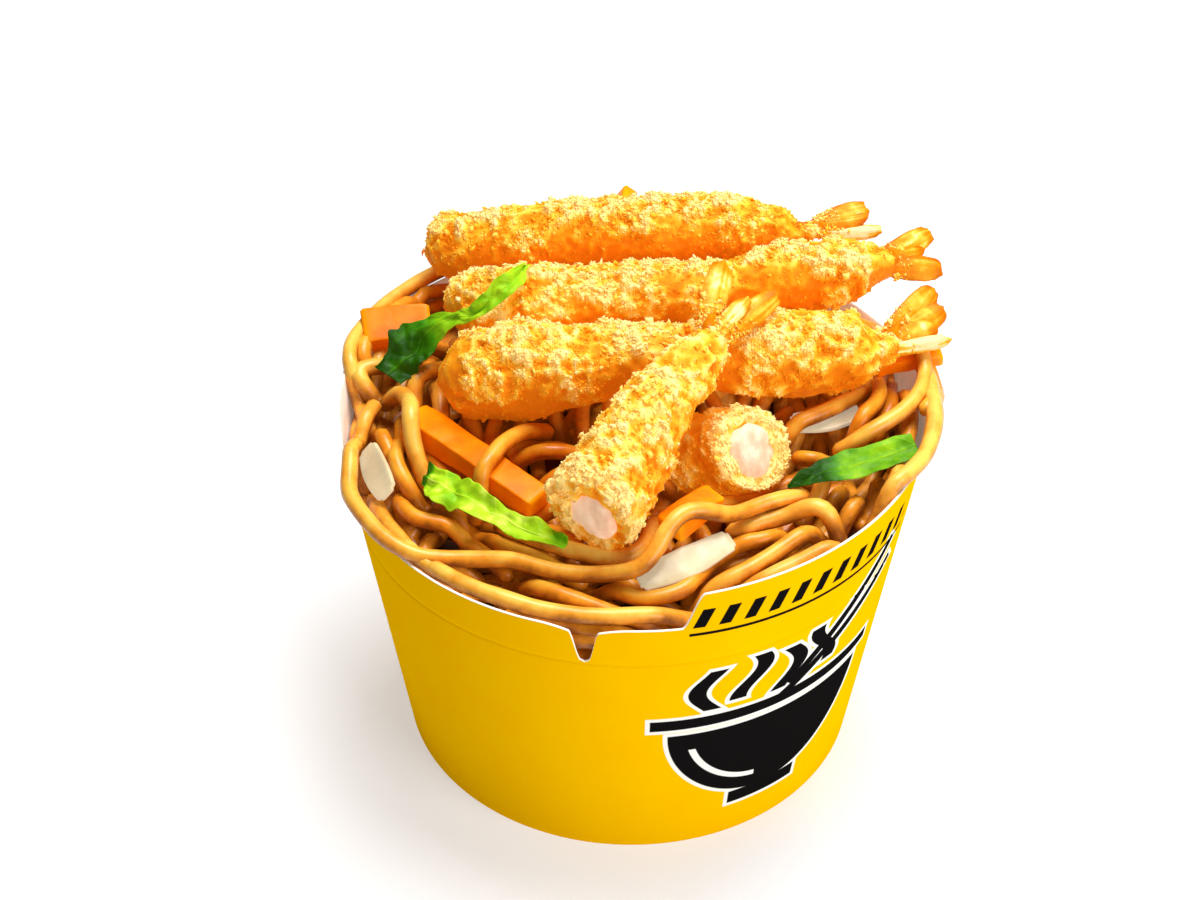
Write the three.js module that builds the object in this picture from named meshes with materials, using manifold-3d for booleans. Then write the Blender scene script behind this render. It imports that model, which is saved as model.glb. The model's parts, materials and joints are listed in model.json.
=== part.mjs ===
// A round card tub of stir-fried noodles, heaped above the rim and topped with breaded prawns.
// Millimetres, +Z up. Azimuth 0 is the front (-Y) and grows towards +X, the right-hand side.
import * as THREE from "three";
import { mergeVertices } from "three/addons/utils/BufferGeometryUtils.js";
import Module from "manifold-3d";

const wasm = await Module();
wasm.setup();

// Driving dimensions.
const baseRadius = 61.3; // outside of the tub where it stands
const creaseRadius = 71; // outside of the tub at the score where its flaps start
const creaseHeight = 73;
const lowFlap = 12.5; // height of the flaps above the score
const tongue = 26; // height of the raised tongue above the score
const card = 0.7;
const seatGap = 0.3; // left between pieces that touch
const bedGap = 0.5; // left round a topping that has sunk into the heap
const discRise = 3.5; // the base disc sits this far up inside the foot
const hem = 1.4; // two layers of card folded up round the foot
const noodleRadius = 2.2;
const cutMeatRadius = 6.2;
const leafThickness = 0.8;

const wallSlope = (creaseRadius - baseRadius) / creaseHeight;
const rimLow = creaseHeight + lowFlap; // height of the tub's edge in front and behind
const wallRadius = (z) => baseRadius + wallSlope * z;

const degrees = THREE.MathUtils.degToRad;
const smooth = THREE.MathUtils.smoothstep;
const mix = THREE.MathUtils.lerp;
const V = (x, y, z) => new THREE.Vector3(x, y, z);

// A seeded draw between 0 and 1, so that every run gives the same heap.
function seeded(seed) {
  let state = seed;
  return () => {
    state = (state * 1664525 + 1013904223) % 4294967296;
    return state / 4294967296;
  };
}

// Azimuth in degrees of a point seen from above, from -180 to 180.
const azimuthOf = (x, y) => THREE.MathUtils.radToDeg(Math.atan2(x, -y));
const turnBetween = (a, b) => ((a - b + 540) % 360) - 180;

// Closed geometry becomes a manifold solid, and back.
function toSolid(geometry) {
  const bare = new THREE.BufferGeometry().setAttribute("position", geometry.getAttribute("position"));
  if (geometry.index) bare.setIndex(geometry.index);
  const merged = mergeVertices(bare, 1e-4);
  const corners = new Uint32Array(merged.index.array);
  const make = (triVerts) =>
    new wasm.Manifold(
      new wasm.Mesh({ numProp: 3, vertProperties: merged.attributes.position.array, triVerts }),
    );
  const solid = make(corners);
  return solid.volume() > 0 ? solid : make(corners.reverse());
}

function toGeometry(solid) {
  const mesh = solid.getMesh();
  const positions = new THREE.BufferAttribute(new Float32Array(mesh.vertProperties), mesh.numProp);
  const shared = new THREE.BufferGeometry().setAttribute("position", positions);
  shared.setIndex(new THREE.BufferAttribute(new Uint32Array(mesh.triVerts), 1));
  const faceted = shared.toNonIndexed();
  faceted.computeVertexNormals();
  return faceted;
}

const join = (solids) => solids.reduce((whole, piece) => whole.add(piece));
const carve = (solid, cutters) => cutters.reduce((rest, cutter) => rest.subtract(cutter), solid);

const slantReach = 16; // length over which a slanted cut fades out

// The largest body of a solid, without scraps that a cut left loose.
function largest(solid) {
  const bodies = solid.decompose();
  return bodies.reduce((best, body) => (body.volume() > best.volume() ? body : best));
}

// A turned profile of [distance along, radius] pairs laid along a curve, with an optional relief.
// What lies before the curve's start or past its end goes straight on. A slanted start is cut back at
// the top and longer at the bottom, by its slope, and the slant fades out over slantReach.
function turnedAlong(curve, profile, sides, relief = () => 0, slant = 0) {
  const length = curve.getLength();
  const points = profile.map(([along, radius]) => new THREE.Vector2(radius, along));
  const geometry = new THREE.LatheGeometry(points, sides);
  const position = geometry.getAttribute("position");
  const up = V(0, 0, 1);
  for (let i = 0; i < position.count; i++) {
    const [x, z] = [position.getX(i), position.getZ(i)];
    const along = position.getY(i) + slant * z * THREE.MathUtils.clamp(1 - position.getY(i) / slantReach, 0, 1);
    const t = THREE.MathUtils.clamp(along / length, 0, 1);
    const ahead = curve.getTangentAt(t);
    const side = V(0, 0, 0).crossVectors(up, ahead).normalize();
    const top = V(0, 0, 0).crossVectors(ahead, side);
    const radius = Math.hypot(x, z);
    const turn = Math.atan2(z, x);
    const reach = radius < 1e-6 ? 0 : radius + relief(along, turn) * Math.min(1, radius / 4);
    const place = curve.getPointAt(t).addScaledVector(ahead, along - t * length);
    place.addScaledVector(side, reach * Math.cos(turn)).addScaledVector(top, reach * Math.sin(turn));
    position.setXYZ(i, place.x, place.y, place.z);
  }
  return toSolid(geometry);
}

// A thin sheet whose middle surface is place(u, v), with both faces split into triangles alike.
function sheet(place, across, along, thickness) {
  const face = new THREE.PlaneGeometry(1, 1, across, along);
  const middle = face.getAttribute("position");
  for (let i = 0; i < middle.count; i++) {
    const point = place(middle.getX(i) + 0.5, middle.getY(i) + 0.5);
    middle.setXYZ(i, point.x, point.y, point.z);
  }
  face.computeVertexNormals();
  const normal = face.getAttribute("normal");
  const count = middle.count;
  const corners = new Float32Array(count * 6);
  for (let i = 0; i < count; i++)
    for (const layer of [0, 1]) {
      const offset = (layer ? -0.5 : 0.5) * thickness;
      corners[3 * (i + layer * count)] = middle.getX(i) + offset * normal.getX(i);
      corners[3 * (i + layer * count) + 1] = middle.getY(i) + offset * normal.getY(i);
      corners[3 * (i + layer * count) + 2] = middle.getZ(i) + offset * normal.getZ(i);
    }
  const triangles = [];
  const upper = face.index.array;
  for (let i = 0; i < upper.length; i += 3) {
    triangles.push(upper[i], upper[i + 1], upper[i + 2]);
    triangles.push(count + upper[i + 2], count + upper[i + 1], count + upper[i]);
  }
  const row = across + 1;
  const border = [];
  for (let i = 0; i < across; i++) border.push(i);
  for (let j = 0; j < along; j++) border.push(j * row + across);
  for (let i = across; i > 0; i--) border.push(along * row + i);
  for (let j = along; j > 0; j--) border.push(j * row);
  border.forEach((a, i) => {
    const b = border[(i + 1) % border.length];
    triangles.push(a, b, count + a, b, count + b, count + a);
  });
  const geometry = new THREE.BufferGeometry();
  geometry.setAttribute("position", new THREE.BufferAttribute(corners, 3));
  geometry.setIndex(triangles);
  return toSolid(geometry);
}

// A strip laid along a curve: its width changes along it, its sides ripple, and it may be tilted.
function stripAlong(curve, width, thickness, shape) {
  const { across, along, wave = 0, waves = 1, tilt } = shape;
  const tiltAngle = degrees(tilt);
  return sheet(
    (u, v) => {
      const ahead = curve.getTangent(v);
      const side = V(0, 0, 0).crossVectors(ahead, V(0, 0, 1)).normalize();
      const top = V(0, 0, 0).crossVectors(side, ahead);
      const taper = width(v);
      const out = (u - 0.5) * taper;
      const ripple = wave * (u - 0.5) * 2 * Math.sin(waves * 2 * Math.PI * v);
      const point = curve.getPoint(v);
      point.addScaledVector(side, out * Math.cos(tiltAngle) - ripple * Math.sin(tiltAngle));
      return point.addScaledVector(top, out * Math.sin(tiltAngle) + ripple * Math.cos(tiltAngle));
    },
    across,
    along,
    thickness,
  );
}

// The card tub: its edge dips to a slot where two flaps part, and climbs to two tongues.
const notchAzimuths = [-8.3, 171.7]; // where the two flaps part
const notchDepth = lowFlap - 0.8;
const slotWidth = [1, 3.6]; // half-width of the slot at its bottom and at its mouth
const shoulderReach = 11; // how far from the slot the flaps' rounded corners begin
const shoulderShare = 0.25; // of the notch's depth
const tongueCrown = 0.09; // share of the tongue's height that its ends fall short of its middle
// Each flap has a raised tongue: azimuths of its ends, and the degrees over which each end climbs.
const tongues = [
  { from: 9.6, fromRise: 3.8, to: 150.4, toRise: 3.8 },
  { from: -170, fromRise: 3.8, to: -58, toRise: 34 },
];

// Height of the tub's edge at an azimuth.
function rimHeight(azimuth) {
  let height = rimLow;
  for (const { from, fromRise, to, toRise } of tongues) {
    const half = (to - from) / 2;
    const past = turnBetween(azimuth, from + half);
    const climb = smooth(half + past, 0, fromRise) * smooth(half - past, 0, toRise);
    const crowned = tongue * (1 - tongueCrown * Math.min(1, Math.abs(past) / half) ** 2);
    height += (crowned - lowFlap) * climb;
  }
  for (const notch of notchAzimuths) {
    const away = degrees(Math.abs(turnBetween(azimuth, notch))) * wallRadius(rimLow);
    const slot = 1 - smooth(away, ...slotWidth);
    const shoulder = Math.max(0, 1 - away / shoulderReach) ** 2;
    height -= notchDepth * ((1 - shoulderShare) * slot + shoulderShare * shoulder);
  }
  return height;
}

// Azimuths of the wall's columns, closer together at the notches and the ends of the tongue.
function wallColumns() {
  const columns = new Set();
  for (let azimuth = -180; azimuth < 180; azimuth += 5) columns.add(azimuth);
  const ends = tongues.flatMap(({ from, fromRise, to, toRise }) => [from + fromRise / 2, to - toRise / 2]);
  for (const corner of [...notchAzimuths, ...ends])
    for (let step = -4.5; step <= 4.5; step += 0.9) columns.add(Math.round((corner + step) * 100) / 100);
  return [...columns].sort((a, b) => a - b);
}

function cartonWall() {
  const columns = wallColumns();
  const levels = [
    [0, 0],
    [creaseHeight, 0],
    [null, 0],
    [null, card],
    [creaseHeight, card],
    [0, card],
    [0, 0],
  ];
  const profile = levels.map(([z]) => new THREE.Vector2(baseRadius, z ?? rimLow));
  const geometry = new THREE.LatheGeometry(profile, columns.length);
  const position = geometry.getAttribute("position");
  for (let i = 0; i < position.count; i++) {
    const azimuth = columns[Math.floor(i / levels.length) % columns.length];
    const [level, inset] = levels[i % levels.length];
    const z = level ?? rimHeight(azimuth);
    const radius = wallRadius(z) - inset;
    position.setXYZ(i, radius * Math.sin(degrees(azimuth)), -radius * Math.cos(degrees(azimuth)), z);
  }
  return toSolid(geometry);
}

function cartonBase() {
  const outer = (z) => wallRadius(z) - card - seatGap;
  const outline = [
    [0, discRise],
    [outer(0) - hem, discRise],
    [outer(0) - hem, 0],
    [outer(0), 0],
    [outer(discRise + card), discRise + card],
    [0, discRise + card],
  ];
  const geometry = new THREE.LatheGeometry(outline.map(([radius, z]) => new THREE.Vector2(radius, z)), 48);
  geometry.rotateX(Math.PI / 2);
  return toSolid(geometry);
}

const heapTop = 98; // height of the heap over the tub's axis
const heapRise = 0.17; // and its slope, up to the back
const heapEdgeRise = 14; // how much higher it meets the card beside the tongues than in front
const heapEdgeLeft = [35, 110]; // degrees round from the front over which it climbs so on the left
const heapEdgeRight = [15, 70]; // and on the right

// Height of the heap's outer surface.
function heapHeight(x, y) {
  const climb = x < 0 ? heapEdgeLeft : heapEdgeRight;
  const edge = rimLow + heapEdgeRise * smooth(Math.abs(azimuthOf(x, y)), ...climb);
  const outward = smooth(Math.hypot(x, y) / creaseRadius, 0.5, 1);
  return mix(heapTop + heapRise * y, edge, outward);
}

const coreDrop = 2.2; // the core lies this far under the heap's surface
const coreEdge = 1.6; // and its rounded shoulder this much lower at the wall
const coreStraight = 70; // height up to which the core follows the tub's wall
const coreRings = [1, 0.96, 0.88, 0.76, 0.6, 0.42, 0.22, 0]; // shares of the radius, up to the top

function heapCore() {
  const floor = discRise + card + seatGap;
  const inner = (z) => wallRadius(z) - card - seatGap;
  const rings = [
    [0, floor],
    [inner(floor), floor],
    [inner(coreStraight), coreStraight],
    ...coreRings.map((share) => [share * inner(rimLow), null]),
  ];
  const profile = rings.map(([radius, z]) => new THREE.Vector2(radius, z ?? rimLow));
  const geometry = new THREE.LatheGeometry(profile, 30);
  geometry.rotateX(Math.PI / 2);
  const position = geometry.getAttribute("position");
  for (let i = 0; i < position.count; i++) {
    if (rings[i % rings.length][1] !== null) continue;
    const [x, y] = [position.getX(i), position.getY(i)];
    const shoulder = coreEdge * smooth(Math.hypot(x, y) / inner(rimLow), 0.8, 1);
    const z = heapHeight(x, y) - coreDrop - shoulder;
    const fit = inner(z) / inner(rimLow);
    position.setXYZ(i, x * fit, y * fit, z);
  }
  return toSolid(geometry);
}

// Height of a noodle's middle line: on the heap, and over the card's edge where it hangs out.
function noodleHeight(x, y, lift) {
  const edge = rimHeight(azimuthOf(x, y)) + noodleRadius + 2 * seatGap;
  const onHeap = heapHeight(x, y) - noodleRadius + lift;
  const over = smooth(Math.hypot(x, y), creaseRadius - 7, creaseRadius - 1);
  return mix(onHeap, Math.max(edge, onHeap), over);
}

const strandSwing = [2, 5]; // least and most sideways waver of a strand
const strandLift = 1.4; // and how far it rises and falls
const strandClear = 2.1; // a strand inside the card stays this far from it

// One strand: a wavering arc round the heap, that drifts outwards or bows out in its middle.
function noodlePath({ middle, radius, length, drift, bow }, draw) {
  const sweep = THREE.MathUtils.radToDeg(length / radius);
  const phase = draw() * 2 * Math.PI;
  const swing = mix(...strandSwing, draw());
  const limit = wallRadius(rimLow) - card - noodleRadius - strandClear;
  const points = [];
  for (let i = 0; i <= 8; i++) {
    const t = i / 8 - 0.5;
    const bowed = radius - bow * (2 * t) ** 2;
    const wavering = Math.min(limit, radius + 2 * drift * t + swing * Math.sin(phase + 7 * t));
    const reach = bow ? bowed : wavering;
    const azimuth = degrees(middle + sweep * t);
    const [x, y] = [reach * Math.sin(azimuth), -reach * Math.cos(azimuth)];
    points.push(V(x, y, noodleHeight(x, y, strandLift * Math.sin(phase * 3 + 9 * t))));
  }
  return new THREE.CatmullRomCurve3(points);
}

function noodle(path, steps = 12, sides = 5) {
  const section = new THREE.Shape();
  for (let i = 0; i < sides; i++) {
    const turn = (2 * Math.PI * i) / sides;
    const [x, y] = [noodleRadius * Math.cos(turn), noodleRadius * Math.sin(turn)];
    if (i) section.lineTo(x, y);
    else section.moveTo(x, y);
  }
  section.closePath();
  return toSolid(new THREE.ExtrudeGeometry(section, { steps, bevelEnabled: false, extrudePath: path }));
}

// Rings of strands from the rim inwards: those that bow out hang over the card's edge.
const noodleRings = [
  { radius: 75.8, count: 1, length: 80, first: -106, spread: 0, bow: 9 },
  { radius: 75, count: 2, length: 80, first: 78, spread: 50, bow: 9 },
  { radius: 68, count: 5, length: 100, first: -150, spread: 360, bow: 0 },
  { radius: 60, count: 3, length: 110, first: -100, spread: 300, bow: 0 },
  { radius: 52, count: 3, length: 90, first: -130, spread: 280, bow: 0 },
  { radius: 41, count: 3, length: 75, first: -80, spread: 250, bow: 0 },
  { radius: 28, count: 1, length: 60, first: -30, spread: 0, bow: 0 },
];

function noodleStrands() {
  const draw = seeded(31);
  const strands = [];
  for (const ring of noodleRings)
    for (let i = 0; i < ring.count; i++) {
      const middle = ring.first + (ring.spread / ring.count) * (i + 0.4 * (draw() - 0.5));
      const drift = ring.bow ? 0 : 7 * (draw() - 0.5);
      strands.push(noodle(noodlePath({ ...ring, middle, drift }, draw)));
    }
  return strands;
}

// Crust relief: broad lumps and small crags, from a few waves that never line up.
const crags = (seed, depth) => (along, turn) =>
  depth *
  (0.55 * Math.sin(0.21 * along + 2 * turn + seed) +
    0.45 * Math.sin(0.57 * along - 3 * turn + 2.3 * seed) +
    0.35 * Math.sin(1.13 * along + 5 * turn + 4.1 * seed));

// Radius of a breaded body at a share of its length, from radii given at even steps.
function girthAt(girth, share) {
  const step = share * (girth.length - 1);
  const i = Math.min(Math.floor(step), girth.length - 2);
  return mix(girth[i], girth[i + 1], smooth(step - i, 0, 1));
}

const bodyRings = 15;
const mouthShare = 0.86; // radius of a cut end where its edge is broken off
const tailEnd = 0.93; // share of the length past which the crust closes in on the tail

// Profile of a breaded body: blunt or cut at the near end, closed round the tail's root at the far end.
function bodyProfile({ girth, cut, root }, length, grow) {
  const profile = [[-grow, 0]];
  if (cut) profile.push([-grow, girth[0] * mouthShare + grow]);
  for (let i = 1; i <= bodyRings; i++) {
    const t = (i / bodyRings) ** 1.3;
    const inCap = Math.min(1, (t * length) / girth[0]);
    const blunt = cut ? 0.9 + 0.1 * inCap : Math.sqrt(1 - (1 - inCap) ** 2);
    const full = girthAt(girth, t) * blunt;
    profile.push([t * length, mix(full, root, smooth(t, tailEnd, 1) ** 2) + grow]);
  }
  profile.push([length + grow, 0]);
  return profile;
}

// Each body runs from its near or cut end to where its tail starts, bent over a middle point.
// girth holds its radii at even steps, root the tail's at the crust, and fan each lobe's tip and width.
const prawns = [
  {
    name: "prawn_1",
    seed: 1.3,
    body: [V(-56, 48, 110.5), V(-8, 48, 118), V(44, 43, 121)],
    girth: [9.6, 9.9, 10.4, 10, 9.2, 7],
    root: 3.6,
    fan: [
      { tip: V(62, 50, 124), width: 6.5 },
      { tip: V(65, 45, 120.5), width: 4.5 },
      { tip: V(61, 47, 123), width: 4 },
    ],
  },
  {
    name: "prawn_2",
    seed: 2.9,
    body: [V(-49, 24, 109), V(4, 22, 110.5), V(62, 28, 120.5)],
    girth: [9, 10.2, 9.4, 8.2, 8.8, 9.2],
    root: 6,
    fan: [
      { tip: V(77, 40, 123), width: 6.5 },
      { tip: V(79, 30, 118.5), width: 7 },
      { tip: V(75, 35, 121), width: 5 },
    ],
  },
  {
    name: "prawn_3",
    seed: 4.7,
    body: [V(-49, 0, 102), V(0, -2, 112.5), V(61, 6, 109)],
    girth: [10.5, 12.4, 10.4, 9, 12.2, 10],
    root: 5,
    fan: [
      { tip: V(77, 24, 116), width: 7 },
      { tip: V(79.5, 19.5, 113.5), width: 7 },
      { tip: V(77, 15, 111.5), width: 6 },
      { tip: V(80, 10.5, 110), width: 4 },
    ],
  },
  {
    name: "prawn_4",
    seed: 6.1,
    body: [V(-9, -47, 98.5), V(2, -29, 110.5), V(17, -11, 120.5)],
    girth: [12, 11.6, 11.4, 10.4, 8.6, 6.4],
    root: 5,
    cut: true,
    slant: 0.35,
    fan: [
      { tip: V(22, 8, 128), width: 6.5 },
      { tip: V(35, 5, 126), width: 6.5 },
      { tip: V(27, 1, 127.5), width: 4.5 },
    ],
  },
  {
    name: "prawn_5",
    seed: 7.7,
    body: [V(29.5, -21, 98), V(23, -12, 89), V(4, -4, 82)],
    girth: [11.3, 11.4, 11.2, 10.6, 9.5, 8],
    root: 6,
    cut: true,
  },
];

const bodyCurve = (prawn) => new THREE.QuadraticBezierCurve3(prawn.body[0], prawn.body[1], prawn.body[2]);

function prawnCrust(prawn, grow = 0) {
  const curve = bodyCurve(prawn);
  const profile = bodyProfile(prawn, curve.getLength(), grow);
  return turnedAlong(curve, profile, 12, crags(prawn.seed, 0.8), prawn.slant);
}

const meatProud = 1.2; // the flesh stands this far out of the crust's cut end

// The flesh that shows at a cut end, and runs through the crust towards the tail.
function prawnMeat(prawn, grow = 0) {
  const curve = bodyCurve(prawn);
  const length = curve.getLength();
  const radius = cutMeatRadius + grow;
  const share = prawn.fan ? 0.97 : 0.9; // of the body's length that the flesh fills
  const mouth = curve.getPoint(0).addScaledVector(curve.getTangent(0), -meatProud);
  const inside = [0.25, 0.5, 0.75, share].map((t) => curve.getPoint(t));
  const inner = new THREE.CatmullRomCurve3([mouth, ...inside]);
  const profile = [
    [-grow, 0],
    [-grow, radius * 0.7],
    [meatProud - grow, radius],
    [length * 0.55, radius],
    [length * 0.8, radius * 0.62],
    [length * share + grow, 2.6 + grow],
    [length * share + grow, 0],
  ];
  return turnedAlong(inner, profile, 10, crags(prawn.seed + 9, 0.35), prawn.slant);
}

const lobeTilt = -40; // a lobe that points to the right leans its flat side to the front
const lobeThickness = 1;

// The tail shell: a short waist and a fan of flattened lobes with blunt tips.
function prawnTail({ root, fan, ...prawn }, grow = 0) {
  const curve = bodyCurve(prawn);
  const ahead = curve.getTangent(1);
  const start = curve.getPoint(1).addScaledVector(ahead, seatGap - grow);
  const middle = start.clone().lerp(fan[0].tip, 0.45);
  const waistProfile = [
    [0, 0],
    [0, root * 0.85 + grow],
    [2.5, root * 0.75 + grow],
    [6, root * 0.5 + grow],
    [8, 0],
  ];
  const waistBend = start.clone().addScaledVector(ahead, 3);
  const waist = turnedAlong(new THREE.QuadraticBezierCurve3(start, waistBend, middle), waistProfile, 8);
  const lobes = fan.map(({ tip, width }, i) => {
    const from = start.clone().lerp(tip, 0.1);
    const bend = from.clone().lerp(tip, 0.45).addScaledVector(ahead, 1.5);
    bend.z += (i % 2 ? -1 : 1) * 0.6;
    const lobe = new THREE.QuadraticBezierCurve3(from, bend, tip);
    const spread = (t) => mix(root, width, smooth(t, 0, 0.6)) * (1 - 0.3 * smooth(t, 0.7, 1)) + 2 * grow;
    const tilt = lobeTilt * ahead.x;
    return stripAlong(lobe, spread, lobeThickness + 2 * grow, { across: 1, along: 4, tilt });
  });
  return join([waist, ...lobes]);
}

const carrots = [
  { name: "carrot_1", from: V(-55, -6, 95), to: V(-22, -34, 91.5), width: 8, depth: 6 },
  { name: "carrot_2", from: V(-70, 27, 103.5), to: V(-53, 30, 104.5), width: 10, depth: 5 },
  { name: "carrot_3", from: V(9, -46, 94), to: V(20, -35, 95), width: 7, depth: 4.5 },
  { name: "carrot_4", from: V(62, 12, 100), to: V(79, 14, 102.5), width: 5, depth: 3 },
  { name: "carrot_5", from: V(-16, 66, 98), to: V(-1, 63, 120), width: 7, depth: 4.5 },
];

// A hand-cut baton: a long bar, slimmer at one end and slightly twisted.
function baton({ from, to, width, depth }, grow = 0) {
  const length = from.distanceTo(to) + 2 * grow;
  const geometry = new THREE.BoxGeometry(width + 2 * grow, depth + 2 * grow, length, 1, 1, 4);
  const position = geometry.getAttribute("position");
  for (let i = 0; i < position.count; i++) {
    const t = position.getZ(i) / length;
    const [scale, twist] = [1 - 0.2 * t, 0.25 * t];
    const [x, y] = [position.getX(i) * scale, position.getY(i) * scale];
    position.setXY(i, x * Math.cos(twist) - y * Math.sin(twist), x * Math.sin(twist) + y * Math.cos(twist));
  }
  const ahead = to.clone().sub(from).normalize();
  const side = V(0, 0, 0).crossVectors(V(0, 0, 1), ahead).normalize();
  const frame = new THREE.Matrix4().makeBasis(side, V(0, 0, 0).crossVectors(ahead, side), ahead);
  frame.setPosition(from.clone().lerp(to, 0.5));
  return toSolid(geometry.applyMatrix4(frame));
}

const leaves = [
  {
    name: "leaf_1",
    width: 8.5,
    wave: 1.1,
    waves: 2.5,
    tilt: -44,
    route: [
      V(-62, 7, 101),
      V(-57, 13, 105),
      V(-47, 14.5, 112.2),
      V(-37, 13, 118.2),
      V(-30, 17.5, 124),
      V(-26, 28, 124),
    ],
  },
  {
    name: "leaf_2",
    width: 9,
    wave: 1.6,
    waves: 4,
    tilt: 12,
    route: [V(-50, -26, 93), V(-41, -34, 93.5), V(-29, -43, 93), V(-15, -50, 91.5)],
  },
  {
    name: "leaf_3",
    width: 11,
    wave: 1,
    waves: 1.5,
    tilt: -8,
    route: [V(46, -25.5, 96), V(54, -23, 98), V(62, -20, 100), V(69, -17, 102)],
  },
];

const onions = [
  {
    name: "onion_1",
    width: 10,
    tilt: 55,
    route: [V(-66, -10, 93), V(-63, -20, 92), V(-59, -29, 90)],
  },
  {
    name: "onion_2",
    width: 9,
    tilt: 20,
    route: [V(2, -59, 87), V(13, -54, 88.5), V(25, -46, 90)],
  },
  {
    name: "onion_3",
    width: 8,
    tilt: 10,
    route: [V(40, -8, 95), V(49, -7, 96), V(58, -4, 96.5)],
  },
];

// A smooth curve through a route's points, with both ends drawn out by a length.
function routeCurve(route, reach) {
  const points = route.map((point) => point.clone());
  points[0].addScaledVector(route[0].clone().sub(route[1]).normalize(), reach);
  points.at(-1).addScaledVector(route.at(-1).clone().sub(route.at(-2)).normalize(), reach);
  return new THREE.CatmullRomCurve3(points);
}

const onionThickness = 2;

const leaf = (spec, grow = 0) =>
  stripAlong(
    routeCurve(spec.route, grow),
    (t) => (spec.width + 2 * grow) * (0.35 + 0.65 * Math.sin(Math.PI * Math.min(0.9, 0.12 + 0.85 * t))),
    leafThickness + 2 * grow,
    { across: 3, along: 10, ...spec },
  );

const onion = (spec, grow = 0) =>
  stripAlong(
    routeCurve(spec.route, grow),
    (t) => (spec.width + 2 * grow) * (0.45 + 0.55 * Math.sin(Math.PI * (0.1 + 0.8 * t))),
    onionThickness + 2 * grow,
    { across: 3, along: 6, ...spec },
  );

const finish = (color, roughness) => new THREE.MeshStandardMaterial({ color, roughness, metalness: 0 });
const finishes = {
  card: finish(0xffc800, 0.45),
  cardInside: finish(0xf4f0e6, 0.8),
  noodles: finish(0xc88c3c, 0.35),
  crust: finish(0xf0a83c, 0.75),
  shell: finish(0xe8761c, 0.3),
  flesh: finish(0xf2dcd6, 0.4),
  carrot: finish(0xff8c14, 0.35),
  leaf: finish(0x8cc828, 0.4),
  onion: finish(0xe8e0cc, 0.25),
};

const tub = new THREE.Group();

function place(name, solid, material) {
  const mesh = new THREE.Mesh(toGeometry(largest(solid)), material);
  mesh.name = name;
  tub.add(mesh);
}

// Each topping as its own solid, with the slightly larger form that it presses into the heap.
const toppings = [];

function top(name, make, spec, material) {
  toppings.push({ name, solid: make(spec), bed: make(spec, bedGap), material });
}

for (const prawn of prawns) {
  top(prawn.name, prawnCrust, prawn, finishes.crust);
  if (prawn.fan) top(prawn.name + "_tail", prawnTail, prawn, finishes.shell);
  if (!prawn.cut) continue;
  const crust = toppings.find(({ name }) => name === prawn.name);
  crust.solid = crust.solid.subtract(prawnMeat(prawn, seatGap));
  top(prawn.name + "_meat", prawnMeat, prawn, finishes.flesh);
}
for (const spec of carrots) top(spec.name, baton, spec, finishes.carrot);
for (const spec of leaves) top(spec.name, leaf, spec, finishes.leaf);
for (const spec of onions) top(spec.name, onion, spec, finishes.onion);

const heap = carve(
  join([heapCore(), ...noodleStrands()]),
  toppings.map((topping) => topping.bed),
);

place("carton_wall", cartonWall(), finishes.card);
place("carton_base", cartonBase(), finishes.cardInside);
place("noodles", heap, finishes.noodles);
for (const { name, solid, material } of toppings) place(name, solid, material);

// The origin lies under the middle of the whole, on the surface that the tub stands on.
const middle = new THREE.Box3().setFromObject(tub).getCenter(V(0, 0, 0));
tub.position.set(-middle.x, -middle.y, 0);

const part = new THREE.Group();
part.add(tub);
export default part;
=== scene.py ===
# A round card tub of stir-fried noodles, heaped above its rim and topped with breaded prawns.
# Forms are worked out in millimetres from the middle of the tub's foot, then laid in the scene in metres.
import json
import math
from itertools import product

import bpy
import numpy as np
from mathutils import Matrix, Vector
from mathutils.bvhtree import BVHTree

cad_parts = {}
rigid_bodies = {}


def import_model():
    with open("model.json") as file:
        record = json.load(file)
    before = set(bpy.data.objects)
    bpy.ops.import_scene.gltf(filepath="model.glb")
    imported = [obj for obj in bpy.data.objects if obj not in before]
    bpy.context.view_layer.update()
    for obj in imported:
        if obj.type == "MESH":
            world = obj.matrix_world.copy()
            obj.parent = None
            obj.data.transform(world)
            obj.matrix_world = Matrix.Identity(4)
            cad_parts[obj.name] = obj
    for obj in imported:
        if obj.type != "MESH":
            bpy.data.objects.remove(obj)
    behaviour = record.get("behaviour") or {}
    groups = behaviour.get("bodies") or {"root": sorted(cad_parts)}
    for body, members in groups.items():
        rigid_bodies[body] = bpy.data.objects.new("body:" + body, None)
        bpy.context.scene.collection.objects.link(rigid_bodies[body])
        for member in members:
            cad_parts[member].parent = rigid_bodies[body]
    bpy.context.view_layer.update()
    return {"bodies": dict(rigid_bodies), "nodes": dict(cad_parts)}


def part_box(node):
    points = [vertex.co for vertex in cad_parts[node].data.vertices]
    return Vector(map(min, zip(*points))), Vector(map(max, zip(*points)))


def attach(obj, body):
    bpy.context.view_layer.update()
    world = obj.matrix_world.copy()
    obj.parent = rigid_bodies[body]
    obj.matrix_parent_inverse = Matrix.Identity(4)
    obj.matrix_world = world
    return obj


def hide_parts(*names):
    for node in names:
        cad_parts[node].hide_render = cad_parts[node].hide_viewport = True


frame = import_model()
baseLow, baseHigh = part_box("carton_base")
tubMiddle = 1000 * np.array([(baseLow.x + baseHigh.x) / 2, (baseLow.y + baseHigh.y) / 2, 0])
print("frame loaded, tub axis at", tubMiddle.round(2), "mm")


# Small sums used all over
def smoothStep(value, low, high):
    t = np.clip((value - low) / (high - low), 0, 1)
    return t * t * (3 - 2 * t)


def between(a, b, share):
    return a + (b - a) * share


def unit(vectors):
    return vectors / np.linalg.norm(vectors, axis=-1, keepdims=True)


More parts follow.
